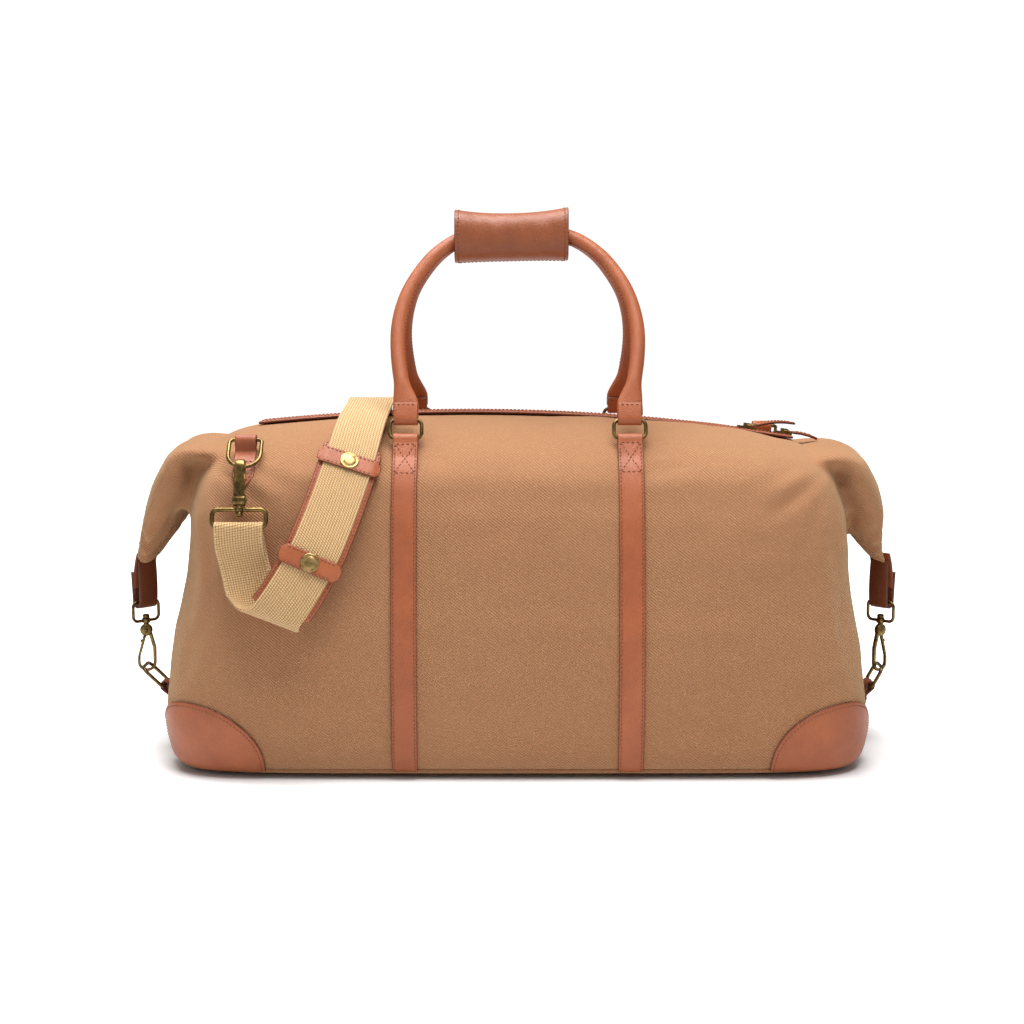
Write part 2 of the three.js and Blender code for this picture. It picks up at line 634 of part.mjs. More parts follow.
// Route of the webbing's centre line, with its width's direction at each point, from the
// front loop round the soft fold, up over the top, and down behind to the back loop.
const ROUTE = [
  { at: vec(loopBar.x, loopBar.y, loopBar.z - 4.4), wide: vec(1, 0, 0) },
  { at: vec(-211, -124, 172), wide: vec(1, 0, -0.04) },
  { at: vec(-205, -127, 150), wide: vec(1, 0, -0.16) },
  { at: vec(-198, -134, 135.5), wide: vec(0.93, 0, -0.36) },
  { at: vec(-188.5, -145, 132), wide: vec(0.93, 0, -0.36) },
  { at: vec(-179, -150, 142), wide: vec(0.92, 0, -0.4) },
  { at: vec(-158, -145, 176), wide: vec(0.92, 0, -0.4) },
  { at: vec(-143, -129, 212), wide: vec(0.93, 0, -0.37) },
  { at: vec(-131, -106, 249), wide: vec(0.94, 0, -0.3) },
  { at: vec(-124, -72, 278), wide: vec(0.98, 0, -0.1) },
  { at: vec(-120, -30, 291), wide: vec(1, 0, 0) },
  { at: vec(-122, 14, 292), wide: vec(1, 0, 0) },
  { at: vec(-127, 56, 284), wide: vec(1, 0, 0) },
  { at: vec(-130, 100, 258), wide: vec(1, 0, 0) },
  { at: vec(-129, 126, 216), wide: vec(0.95, 0, 0.3) },
  { at: vec(-118, 139, 164), wide: vec(0.8, 0.3, 0.5) },
  { at: vec(-92, 146, 115), wide: vec(0.5, 0.45, 0.75) },
  { at: vec(-46, 146, 84), wide: vec(0.2, 0.5, 0.85) },
  { at: vec(12, 145, 76), wide: vec(-0.05, 0.5, 0.86) },
  { at: vec(72, 146, 86), wide: vec(-0.25, 0.5, 0.8) },
  { at: vec(132, 146, 112), wide: vec(-0.45, 0.45, 0.72) },
  { at: vec(180, 143, 145), wide: vec(-0.75, 0.3, 0.5) },
  { at: vec(211, 125, 171), wide: vec(-0.98, 0.02, 0.04) },
  { at: vec(-loopBar.x, -loopBar.y, loopBar.z - 4.4), wide: vec(-1, 0, 0) },
]

const routeCurve = new THREE.CatmullRomCurve3(ROUTE.map((r) => r.at))
const wideCurve = new THREE.CatmullRomCurve3(ROUTE.map((r) => r.wide))

// Position, direction, width and outward normal at a fraction of the route's control points.
// Where the fold runs aslant the width is measured along it, so its vector is a little longer.
function routeFrame(t) {
  const at = routeCurve.getPoint(t)
  const along = routeCurve.getTangent(t)
  const wide = wideCurve.getPoint(t).normalize()
  const out = wide.clone().cross(along)
  const stretch = Math.min(1 / out.length(), 1.25)
  return { at, along, wide: wide.multiplyScalar(stretch), out: out.normalize() }
}

// A flat ribbon on the route from one fraction to another, its middle raised off the route.
function ribbon(from, to, steps, width, thickness, raise, ends = 0) {
  const sections = Array.from({ length: steps + 1 }, (_, k) => {
    const u = k / steps
    const { at, wide, out } = routeFrame(from + (to - from) * u)
    const round = ends ? Math.min(1, 0.55 + Math.min(u, 1 - u) / ends) : 1
    return rectangle(width * round, thickness).map(([w, n]) => {
      return at.clone().addScaledVector(wide, w).addScaledVector(out, n + raise)
    })
  })
  return loft(sections)
}

const stops = ROUTE.length - 1
const PAD_START = 4.75 / stops
const PAD_END = 8.45 / stops
const SNAP_STOPS = { lower: 6 / stops, upper: 8 / stops }
const FRONT_SIDE = 1 // the pad lies behind the webbing and its bands cross in front

// A leather band across the webbing, with its round snap in the middle.
function padBand(t) {
  const { at, wide, out } = routeFrame(t)
  const face = out.clone().multiplyScalar(FRONT_SIDE)
  const frame = new THREE.Matrix4().makeBasis(wide.normalize(), face.clone().cross(wide), face)
  const lift = WEBBING / 2 + GAP + 0.9
  const strap = new THREE.BoxGeometry(PAD_WIDTH, BAND_WIDTH, 1.6).translate(0, 0, lift + 0.8)
  const snap = new THREE.CylinderGeometry(SNAP_RADIUS - 1.4, SNAP_RADIUS, 2.4, 28)
    .rotateX(Math.PI / 2).translate(0, 0, lift + 2.7)
  return surface(solid(strap).add(solid(snap))).applyMatrix4(frame).translate(at.x, at.y, at.z)
}

// ---------------------------------------------------------------- assembly

const bag = new THREE.Group()

function add(name, form, finish) {
  const geometry = form instanceof THREE.BufferGeometry ? form : surface(form)
  const mesh = new THREE.Mesh(geometry, finish())
  mesh.name = name
  bag.add(mesh)
}

for (const [name, form] of Object.entries(panels())) add(name, form, canvas)
add('base_board', baseBoard(), board)

const SIDES = { left: -1, right: 1 }
const FACES = { front: -1, back: 1 }
for (const [face, y] of Object.entries(FACES)) {
  const turned = (geometry) => (y < 0 ? geometry : mirrored(geometry, 1, -1))
  for (const [side, x] of Object.entries(SIDES)) {
    add(`corner_patch_${face}_${side}`, cornerPatch(x, y), leather)
    add(`foot_${face}_${side}`, foot(FOOT_X * x, FOOT_Y * y), brass)
    add(`strap_${face}_${side}`, turned(surface(verticalStrap(STRAP_X * x))), leather)
    add(`handle_ring_${face}_${side}`, turned(handleRing(STRAP_X * x)), brass)
  }
  add(`handle_${face}`, turned(surface(handle())), leather)
  add(`grip_${face}`, turned(surface(gripHalf())), leather)
  add(`zip_half_${face}`, turned(surface(zipHalf())), leather)

  const placed = (geometry) => (y < 0 ? geometry : aboutZ(geometry))
  add(`strap_tab_${face}`, placed(surface(strapTab())), leather)
  add(`strap_ring_${face}`, placed(strapRing()), brass)
  add(`strap_hook_${face}`, placed(triggerPlace(snapHook(TRIGGER, 4.7))), brass)
  add(`strap_gate_${face}`, placed(triggerPlace(snapGate(TRIGGER))), brass)
  add(`strap_loop_${face}`, placed(strapLoop()), brass)
}

for (const [side, x] of Object.entries(SIDES)) {
  const reach = WING_REACH[side]
  const placed = (geometry) => (x > 0 ? geometry : mirrored(geometry, -1, 1))
  add(`wing_${side}`, placed(wing(reach)), canvas)
  add(`wing_tab_${side}`, placed(underWing(wingTab(), reach, TAB_TURN)), leather)
  const ring = swivelRing(WING_RING).translate(0, 0, SWIVEL_Z)
  add(`wing_ring_${side}`, placed(underWing(ring, reach, TAB_TURN)), brass)
  add(`wing_hook_${side}`, placed(wingHookPlace(snapHook(WING_HOOK, 4.9), side)), brass)
  add(`wing_gate_${side}`, placed(wingHookPlace(snapGate(WING_HOOK), side)), brass)
  add(`end_ring_${side}`, placed(endRing(side)), brass)
  add(`end_anchor_${side}`, placed(surface(endAnchor())), leather)
}

add('zip_slider_inner', zipSlider(SLIDER_PLACES.inner), brass)
add('zip_slider_outer', zipSlider(SLIDER_PLACES.outer), brass)
add('zip_pull_inner', onZip(zipPull(44, -0.12, 0.42), SLIDER_PLACES.inner), leather)
add('zip_pull_outer', onZip(zipPull(28, 0.12, 0), SLIDER_PLACES.outer), leather)

add('shoulder_webbing', ribbon(0, 1, 69, WEBBING_WIDTH, WEBBING, 0), webbing)
const padLift = -FRONT_SIDE * (WEBBING / 2 + GAP + PAD / 2)
add('shoulder_pad', ribbon(PAD_START, PAD_END, 20, PAD_WIDTH, PAD, padLift, 0.12), leather)
add('pad_band_lower', padBand(SNAP_STOPS.lower), leather)
add('pad_band_upper', padBand(SNAP_STOPS.upper), leather)

export default bag
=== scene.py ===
"""Canvas and leather weekender bag, in metres, +Z up, front towards -Y. Lengths below are in millimetres."""
import math

import bmesh
import bpy
import numpy as np
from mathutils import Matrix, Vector
from mathutils.bvhtree import BVHTree


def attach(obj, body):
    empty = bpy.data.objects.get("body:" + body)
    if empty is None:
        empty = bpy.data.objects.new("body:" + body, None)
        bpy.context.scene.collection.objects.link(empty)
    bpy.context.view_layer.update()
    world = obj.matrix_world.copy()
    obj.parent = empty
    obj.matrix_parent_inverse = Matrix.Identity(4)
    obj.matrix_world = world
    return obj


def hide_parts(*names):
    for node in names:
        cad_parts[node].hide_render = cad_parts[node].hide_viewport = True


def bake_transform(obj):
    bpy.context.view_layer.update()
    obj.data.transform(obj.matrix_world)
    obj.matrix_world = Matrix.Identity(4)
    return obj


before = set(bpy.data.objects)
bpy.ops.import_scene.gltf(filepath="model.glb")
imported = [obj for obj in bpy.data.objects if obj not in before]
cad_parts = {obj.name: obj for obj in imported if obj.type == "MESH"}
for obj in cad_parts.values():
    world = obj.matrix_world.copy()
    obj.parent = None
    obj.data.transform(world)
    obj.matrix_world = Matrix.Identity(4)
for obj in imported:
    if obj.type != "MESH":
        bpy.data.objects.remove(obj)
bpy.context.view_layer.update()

MM = 0.001

# ------------------------------------------------------------------ dimensions of the bag

LEVELS = np.array([  # height, half length, half depth, squareness, shift
    (4.4, 269, 109, 7, 0), (6.2, 275, 117, 7, 0), (12, 280, 121, 7, 0), (24, 284, 123.5, 7.5, 0),
    (45, 285, 126, 8, 0), (80, 279.5, 128, 8, 0), (120, 274, 126.5, 8, 0), (170, 272, 119.5, 9, 0),
    (205, 267, 113, 9, 0), (235, 256, 103, 9, 0), (250, 249, 90, 7, -1), (262, 231, 75, 5, -16),
    (272, 182, 57, 4, -32), (279, 101, 34, 3, -40), (281.6, 37, 12, 2.5, -40), (282, 5, 2, 2, -40),
])
ZIP_CREST, ZIP_LEFT, ZIP_RIGHT, ZIP_TOP, ZIP_RADIUS = -40, -214, 228, 282, 1700
STRAP_X, STRAP_WIDTH, STRAP_THICK, STRAP_LOOP = 88.5, 20, 2.1, 3.3
RING_LOW = np.array((-80.5, 265.5))
RING_SIZE, RING_WIRE = (25.2, 16, 5.2), 1.45  # width, height, corner
HANDLE_LEAN = math.atan(74.1 / 164.5)
HANDLE_PATH = [(88.5, 292), (92.5, 310), (95.5, 330), (96, 348), (93.5, 365), (88, 381), (79, 396),
               (66, 411), (48, 423), (26, 429)]
GRIP_LEFT, GRIP_RIGHT, GRIP_MIDDLE, GRIP_HALF_HEIGHT, GRIP_DEPTH = -51.5, 41.5, 427, 18.5, 20
WING_LINES = {  # x, z, half thickness, half width, turn, from inside the shoulder to the tab
    "left": np.array([(228, 246, 12, 68, 80), (249, 253, 10.5, 78, 62), (268, 250, 12, 80, 46),
                      (276.5, 231, 17, 78, 14), (284.5, 208, 19.5, 61, -12), (294.5, 183, 15.5, 37, -22),
                      (303, 165, 10.5, 20, -22), (306.5, 157, 6.5, 13, -20)]),
    "right": np.array([(222, 241, 12, 66, 80), (243, 247, 10.5, 78, 66), (263, 246, 12, 80, 46),
                       (275, 228, 17, 77, 14),
                       (286, 206, 16, 60, -12), (289, 183, 17, 37, -22), (299.5, 166, 11, 20, -22),
                       (306.5, 157, 6.5, 13, -20)]),
}
# The canvas that closes a wing's front and back: height, inner and outer x, inner and outer y.
WEBS = np.array([
    (244, 236, 264, 38, 64), (234, 240, 268, 38, 62), (222, 244, 272, 36, 58), (212, 248, 276, 34, 54),
    (205, 254, 279, 34, 50),
])
END_BULGE = 27
CORNER_POWER = 2.4
REACH = {"left": 3.5, "right": -3.5}
TAB_X = 310
CLIP_X = -214.5
LOOP_TOP = np.array((CLIP_X, -120.8, 214))
LOOP_BAR = np.array((CLIP_X, -125.1, 200.65))
WEBBING_WIDTH, WEBBING_THICK, PAD_WIDTH, PAD_THICK, BAND_WIDTH = 38, 2.1, 46.6, 3.4, 50.5
ROUTE = [  # centre line of the shoulder webbing and the direction of its width
    ((-211, -124, 172), (1, 0, -.04)), ((-205, -127, 150), (1, 0, -.16)),
    ((-198, -134, 135.5), (.93, 0, -.36)), ((-188.5, -145, 132), (.93, 0, -.36)),
    ((-179, -150, 142), (.92, 0, -.4)), ((-158, -145, 176), (.92, 0, -.4)),
    ((-143, -129, 212), (.93, 0, -.37)), ((-131, -106, 249), (.94, 0, -.3)),
    ((-124, -72, 278), (.98, 0, -.1)), ((-120, -30, 291), (1, 0, 0)), ((-122, 14, 292), (1, 0, 0)),
    ((-127, 56, 284), (1, 0, 0)), ((-130, 100, 258), (1, 0, 0)), ((-129, 126, 216), (.95, 0, .3)),
    ((-118, 139, 164), (.8, .3, .5)), ((-92, 146, 115), (.5, .45, .75)), ((-46, 146, 84), (.2, .5, .85)),
    ((12, 145, 76), (-.05, .5, .86)), ((72, 146, 86), (-.25, .5, .8)), ((132, 146, 112), (-.45, .45, .72)),
    ((180, 143, 145), (-.75, .3, .5)), ((211, 125, 171), (-.98, .02, .04)),
]

# ------------------------------------------------------------------ looks


def srgb(code):
    parts = [int(code[k:k + 2], 16) / 255 for k in (1, 3, 5)]
    return tuple(c / 12.92 if c <= 0.04045 else ((c + 0.055) / 1.055) ** 2.4 for c in parts) + (1.0,)


class Look:
    """A material built from nodes."""

    def __init__(self, name, **settings):
        self.material = bpy.data.materials.new(name)
        self.material.use_nodes = True
        self.tree = self.material.node_tree
        self.shader = self.tree.nodes["Principled BSDF"]
        for key, value in settings.items():
            self.feed(self.shader.inputs[key.replace("_", " ")], value)
        self.place = self.node("ShaderNodeTexCoord").outputs["Object"]

    def feed(self, socket, value):
        if isinstance(value, bpy.types.NodeSocket):
            self.tree.links.new(value, socket)
        else:
            socket.default_value = value

    def node(self, kind, inputs=None, **settings):
        node = self.tree.nodes.new(kind)
        for key, value in settings.items():
            setattr(node, key, value)
        for key, value in (inputs or {}).items():
            self.feed(node.inputs[key], value)
        return node

    def calc(self, operation, a, b=0.0):
        return self.node("ShaderNodeMath", {0: a, 1: b}, operation=operation).outputs[0]

    def plus(self, a, b):
        return self.calc("ADD", a, b)

    def minus(self, a, b):
        return self.calc("SUBTRACT", a, b)

    def times(self, a, b):
        return self.calc("MULTIPLY", a, b)

    def size(self, a):
        return self.calc("ABSOLUTE", a)

    def sine(self, a, turns):
        return self.calc("SINE", self.times(a, turns))

    def noise(self, scale, detail=2.0, rough=0.5):
        inputs = {"Vector": self.place, "Scale": scale, "Detail": detail, "Roughness": rough}
        return self.node("ShaderNodeTexNoise", inputs).outputs["Fac"]

    def ramp(self, value, low, high):
        inputs = {"Value": value, "From Min": low, "From Max": high}
        return self.node("ShaderNodeMapRange", inputs).outputs["Result"]

    def mix(self, share, a, b):
        return self.node("ShaderNodeMix", {0: share, 6: a, 7: b}, data_type="RGBA").outputs[2]

    def bump(self, height, distance, below=None):
        inputs = {"Height": height, "Distance": distance, "Strength": 1.0}
        if below:
            inputs["Normal"] = below
        return self.node("ShaderNodeBump", inputs).outputs["Normal"]

    def attribute(self, name):
        return self.node("ShaderNodeAttribute", attribute_name=name).outputs["Fac"]

    def parts(self, vector):
        """The three parts of a vector."""
        split = self.node("ShaderNodeSeparateXYZ", {0: vector})
        return [split.outputs[k] for k in range(3)]

    def finish(self, **sockets):
        for key, value in sockets.items():
            self.feed(self.shader.inputs[key.replace("_", " ")], value)
        return self.material


RIB_PITCH, PICK_PITCH, PICK_DEPTH = 0.0018, 0.0021, 0.3  # twill, in metres
RIB_ACROSS, RIB_ALONG = 0.62, 0.78
WEAVE_TURN = 0.08  # how soon the twill changes direction from one side of the bag to the next


def canvas_look():
    look = Look("canvas_twill", Roughness=0.92, Sheen_Weight=0.4, Sheen_Roughness=0.5, Specular_IOR_Level=0.2)
    x, y, z = look.parts(look.place)
    facing = look.parts(look.node("ShaderNodeTexCoord").outputs["Normal"])
    to_end, to_front, to_top = (look.size(part) for part in facing)
    waver = look.times(look.noise(260), 0.0006)

    def twill(across, along):
        """Diagonal ribs with the fainter picks that cross them."""
        slope = look.plus(look.times(across, RIB_ACROSS), look.times(along, RIB_ALONG))
        rib = look.sine(look.plus(slope, waver), 2 * math.pi / RIB_PITCH)
        pick = look.sine(look.minus(across, along), 2 * math.pi / PICK_PITCH)
        return look.plus(rib, look.times(pick, PICK_DEPTH))

    def between(share, first, second):
        return look.plus(look.times(look.minus(1.0, share), first), look.times(share, second))

    end = look.ramp(look.minus(to_end, to_front), -WEAVE_TURN, WEAVE_TURN)
    top = look.ramp(look.minus(to_top, look.calc("MAXIMUM", to_end, to_front)), -WEAVE_TURN, WEAVE_TURN)
    weave = between(top, between(end, twill(x, z), twill(y, z)), twill(x, y))
    slub = look.noise(900, 3, 0.65)
    height = look.plus(weave, look.times(slub, 1.2))
    tone = look.mix(look.ramp(look.noise(9, 3), 0.3, 0.7), srgb("#b78560"), srgb("#b17e5a"))
    tone = look.mix(look.ramp(weave, 2.2, -2.2), tone, srgb("#946547"))
    tone = look.mix(look.ramp(slub, 0.55, 0.85), tone, srgb("#caa678"))
    fuzz = look.bump(look.noise(2600, 2), 0.00012)
    return look.finish(Base_Color=tone, Normal=look.bump(height, 0.00018, fuzz), Sheen_Tint=srgb("#f0dcae"))


def leather_look(name, light, dark, edge, rough=0.45):
    look = Look(name, Roughness=rough, Specular_IOR_Level=0.45)
    cells = look.node("ShaderNodeTexVoronoi", {"Vector": look.place, "Scale": 620.0, "Randomness": 1.0},
                      feature="DISTANCE_TO_EDGE").outputs["Distance"]
    grain = look.ramp(cells, 0.0, 0.16)
    soft = look.noise(150, 4, 0.6)
    tone = look.mix(look.ramp(look.noise(26, 4, 0.6), 0.32, 0.68), light, dark)
    tone = look.mix(look.ramp(soft, 0.6, 0.9), tone, dark)
    tone = look.mix(look.times(look.minus(1.0, grain), 0.18), tone, edge)
    tone = look.mix(look.attribute("rim"), tone, edge)
    relief = look.bump(look.plus(look.times(grain, 0.5), soft), 0.00018)
    return look.finish(Base_Color=tone, Normal=relief,
                       Roughness=look.plus(look.times(soft, 0.25), rough - 0.1))


def brass_look():
    look = Look("antique_brass", Metallic=1.0)
    patches = look.noise(210, 4, 0.65)
    tone = look.mix(look.ramp(patches, 0.38, 0.66), srgb("#8d7444"), srgb("#54452c"))
    shine = look.ramp(look.noise(500, 3), 0.2, 0.9)
    rough = look.plus(look.times(shine, 0.22), 0.24)
    return look.finish(Base_Color=tone, Roughness=rough, Normal=look.bump(look.noise(1400, 2), 0.00003))


def snap_look():
    look = Look("snap_brass", Metallic=1.0)
    tone = look.mix(look.ramp(look.noise(420, 3), 0.4, 0.7), srgb("#b99a66"), srgb("#8a6f42"))
    return look.finish(Base_Color=tone, Roughness=look.ramp(look.noise(300, 3), -0.6, 2.2),
                       Normal=look.bump(look.noise(1800, 2), 0.00004))


YARN_WIDTH, YARN_LENGTH = 0.0021, 0.0019  # one crossing of the webbing, in metres


def webbing_look():
    look = Look("cotton_webbing", Roughness=0.9, Sheen_Weight=0.2, Specular_IOR_Level=0.2)
    u, v, _ = look.parts(look.node("ShaderNodeUVMap").outputs["UV"])
    iu, iv = look.times(u, 1 / YARN_WIDTH), look.times(v, 1 / YARN_LENGTH)
    over, under = (look.size(look.sine(yarns, math.pi)) for yarns in (iu, iv))
    check = look.calc("PINGPONG", look.plus(look.calc("FLOOR", iu), look.calc("FLOOR", iv)), 1.0)
    first = look.times(look.times(over, look.calc("POWER", under, 0.4)), check)
    second = look.times(look.times(under, look.calc("POWER", over, 0.4)), look.minus(1.0, check))
    weave = look.plus(first, second)
    yarn = look.noise(2400, 3, 0.6)
    tone = look.mix(look.ramp(weave, 0.9, 0.05), srgb("#e6c08c"), srgb("#9c7044"))
    tone = look.mix(look.ramp(yarn, 0.55, 0.85), tone, srgb("#f3d9ae"))
    relief = look.bump(weave, 0.0005, look.bump(yarn, 0.00012))
    return look.finish(Base_Color=tone, Normal=relief)


def plain_look(name, light, dark, scale, rough):
    look = Look(name, Roughness=rough)
    grain = look.noise(scale, 4, 0.6)
    return look.finish(Base_Color=look.mix(look.ramp(grain, 0.35, 0.7), light, dark),
                       Normal=look.bump(grain, 0.00015))


CANVAS = canvas_look()
LEATHER = leather_look("cognac_leather", srgb("#b06138"), srgb("#9e5431"), srgb("#5f2b19"), 0.4)
WORN_LEATHER = leather_look("worn_leather", srgb("#975330"), srgb("#87482a"), srgb("#512415"), 0.4)
# A darker copy of the cognac leather for the wing tabs: partly the tab's own darker leather, partly painted
# shade for the tab's inner face, which sits in shadow.
SHADED_TAB_LEATHER = leather_look("tab_leather_painted_shade", srgb("#7d4429"), srgb("#6a3822"), srgb("#4a2416"), 0.32)
BRASS = brass_look()
SNAP = snap_look()
WEBBING = webbing_look()
THREAD = plain_look("thread", srgb("#8d4d2f"), srgb("#733b23"), 3000, 0.7)
CREAM_THREAD = plain_look("cream_thread", srgb("#e6cf9f"), srgb("#cdb27d"), 3000, 0.7)
TAPE = plain_look("zip_tape", srgb("#6f4a30"), srgb("#55361f"), 2200, 0.85)
BOARD = plain_look("board", srgb("#3a332b"), srgb("#2c2620"), 90, 0.8)

# ------------------------------------------------------------------ mesh making


def make(name, points, faces, material, uv=None, rim=None):
    """A smooth mesh from points in millimetres."""
    mesh = bpy.data.meshes.new(name)
    mesh.from_pydata(np.asarray(points, float).reshape(-1, 3) * MM, [], [list(map(int, f)) for f in faces])
    if rim is not None:
        mesh.attributes.new("rim", "FLOAT", "POINT").data.foreach_set("value", np.asarray(rim, np.float32))
    if uv is not None:
        corners = np.empty(len(mesh.loops), np.int32)
        mesh.loops.foreach_get("vertex_index", corners)
        layer = mesh.uv_layers.new(name="flat")
        layer.data.foreach_set("uv", (np.asarray(uv) * MM)[corners].astype(np.float32).ravel())
    edit = bmesh.new()
    edit.from_mesh(mesh)
    bmesh.ops.recalc_face_normals(edit, faces=edit.faces)
    edit.to_mesh(mesh)
    edit.free()
    mesh.shade_smooth()
    mesh.materials.append(material)
    obj = bpy.data.objects.new(name, mesh)
    bpy.context.scene.collection.objects.link(obj)
    return obj


def unit(v):
    return v / np.maximum(np.linalg.norm(v, axis=-1, keepdims=True), 1e-9)


def spline(points, count=None, at=None):
    """Centripetal Catmull-Rom curve through the points; at counts in points from the first."""
    p = np.asarray(points, float)
    ends = np.vstack([2 * p[0] - p[1], p, 2 * p[-1] - p[-2]])
    t = np.linspace(0, len(p) - 1, count) if at is None else np.asarray(at, float)
    k = np.clip(t.astype(int), 0, len(p) - 2)
    w = (t - k)[:, None]
    p0, p1, p2, p3 = (ends[k + j] for j in range(4))
    d0, d1, d2 = (np.maximum(np.linalg.norm(b - a, axis=1, keepdims=True), 1e-6) ** 0.5
                  for a, b in ((p0, p1), (p1, p2), (p2, p3)))
    m1 = ((p1 - p0) / d0 - (p2 - p0) / (d0 + d1) + (p2 - p1) / d1) * d1
    m2 = ((p2 - p1) / d1 - (p3 - p1) / (d1 + d2) + (p3 - p2) / d2) * d1
    c2, c3 = -3 * p1 + 3 * p2 - 2 * m1 - m2, 2 * p1 - 2 * p2 + m1 + m2
    return p1 + m1 * w + c2 * w ** 2 + c3 * w ** 3


def lengths(points):
    return np.concatenate([[0], np.cumsum(np.linalg.norm(np.diff(points, axis=0), axis=1))])


def even(points, step=None, count=None):
    """The polyline's points again, evenly spaced."""
    points = np.asarray(points, float)
    s = lengths(points)
    count = count or max(2, int(round(s[-1] / step)) + 1)
    at = np.linspace(0, s[-1], count)
    return np.stack([np.interp(at, s, points[:, k]) for k in range(points.shape[1])], 1)


def grid_faces(rows, columns, wrap=False):
    r, c = np.meshgrid(np.arange(rows - 1), np.arange(columns if wrap else columns - 1), indexing="ij")
    n = (c + 1) % columns
    near, far = r * columns, (r + 1) * columns
    return np.stack([near + c, near + n, far + n, far + c], -1).reshape(-1, 4)


def rounded(count, length, edge):
    """Places along a length, crowded where its two ends are rounded."""
    near = np.array([0, 0.06, 0.25, 0.6, 1.0]) * edge
    middle = np.linspace(edge, length - edge, max(count, 2))[1:-1]
    return np.concatenate([near, middle, length - near[::-1]])


class Slab:
    """A sheet of even thickness with rounded rims, over a grid of points on its middle."""

    def __init__(self, name, grid, thick, material, edge=1.0, body=None, rim=True, flip=False):
        self.grid = grid = np.asarray(grid, float)
        self.thick = thick
        du = np.gradient(grid, axis=0)
        dv = np.gradient(grid, axis=1)
        self.normal = unit(np.cross(du, dv)) * (-1 if flip else 1)
        middle_u, middle_v = grid.shape[0] // 2, grid.shape[1] // 2
        self.u = lengths(grid[:, middle_v])
        self.v = lengths(grid[middle_u])
        rows, columns = grid.shape[:2]
        step_u = np.linalg.norm(np.diff(grid, axis=0), axis=2)
        step_v = np.linalg.norm(np.diff(grid, axis=1), axis=2)
        from_u = np.vstack([np.zeros(columns), np.cumsum(step_u, 0)])
        from_v = np.hstack([np.zeros((rows, 1)), np.cumsum(step_v, 1)])
        away = np.minimum.reduce([from_u, from_u[-1:] - from_u, from_v, from_v[:, -1:] - from_v])
        full = np.sqrt(1 - (1 - np.clip(away / edge, 0, 1)) ** 2)
        lift = self.normal * (thick / 2 * full)[..., None]
        top, bottom = (grid + lift).reshape(-1, 3), (grid - lift).reshape(-1, 3)
        index = np.arange(rows * columns).reshape(rows, columns)
        inside = np.zeros((rows, columns), bool)
        inside[1:-1, 1:-1] = True
        under = index.copy()
        under[inside] = rows * columns + np.arange(inside.sum())
        faces = grid_faces(rows, columns)
        points = np.vstack([top, bottom[inside.ravel()]])
        flat = np.stack([from_v, from_u], -1).reshape(-1, 2)
        uv = np.vstack([flat, flat[inside.ravel()]])
        worn = (np.clip(1 - away / (edge * 0.9), 0, 1) if rim else np.zeros_like(away)).ravel()
        worn = np.concatenate([worn, worn[inside.ravel()]])
        all_faces = np.vstack([faces, under.ravel()[faces][:, ::-1]])
        self.object = make(name, points, all_faces, material, uv, worn)
        self.name, self.body = name, body
        if body:
            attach(self.object, body)

    def at(self, places, side=1):
        """Points and normals of the surface at (along, across) places in millimetres."""
        places = np.asarray(places, float)
        i = np.interp(places[:, 0], self.u, np.arange(len(self.u)))
        j = np.interp(places[:, 1], self.v, np.arange(len(self.v)))
        i0, j0 = np.clip(i.astype(int), 0, len(self.u) - 2), np.clip(j.astype(int), 0, len(self.v) - 2)
        a, b = (i - i0)[:, None], (j - j0)[:, None]

        def blend(values):
            near = values[i0, j0] * (1 - b) + values[i0, j0 + 1] * b
            far = values[i0 + 1, j0] * (1 - b) + values[i0 + 1, j0 + 1] * b
            return near * (1 - a) + far * a

        normal = unit(blend(self.normal)) * side
        return blend(self.grid) + normal * self.thick / 2, normal

    def stitch(self, *rows, side=1, material=None, name="stitches"):
        """Rows of stitches along lines of (along, across) places."""
        lines = [self.at(even(row, step=1.0), side) for row in rows]
        return stitches(f"{self.name}_{name}", lines, self.body, material or THREAD)


def stitches(name, lines, body, material, pitch=3.2, long=2.4, radius=0.5):
    """Sewn stitches as small sunk capsules along lines of (points, normals)."""
    rings, sides = np.array([-1, -0.72, 0, 0.72, 1]), 6
    girth = np.array([0.05, 0.8, 1, 0.8, 0.05])
    turn = np.arange(sides) * 2 * math.pi / sides
    verts, faces = [], []
    for points, normals in lines:
        s = lengths(points)
        count = int(s[-1] // pitch)
        if count < 1:
            continue
        at = (np.arange(count) + 0.5) * s[-1] / count
        here = np.stack([np.interp(at, s, points[:, k]) for k in range(3)], 1)
        ahead = np.stack([np.interp(at + 0.6, s, points[:, k]) for k in range(3)], 1)
        behind = np.stack([np.interp(at - 0.6, s, points[:, k]) for k in range(3)], 1)
        along = unit(ahead - behind)
        up = unit(np.stack([np.interp(at, s, normals[:, k]) for k in range(3)], 1))
        side = unit(np.cross(along, up))
        for k in range(count):
            start = len(verts)
            skew = side[k] * 0.18
            for r, g in zip(rings, girth):
                centre = here[k] + along[k] * r * long / 2 + skew * r + up[k] * (0.12 - 0.28 * r * r)
                ring = centre + (np.outer(np.cos(turn), side[k]) + np.outer(np.sin(turn), up[k])) * radius * g
                verts.extend(ring)
            faces.extend((grid_faces(len(rings), sides, True) + start).tolist())
            faces.append(list(range(start, start + sides)))
            faces.append(list(range(start + 4 * sides, start + 5 * sides)))
    obj = make(name, np.array(verts), faces, material)
    if body:
        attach(obj, body)
    return obj


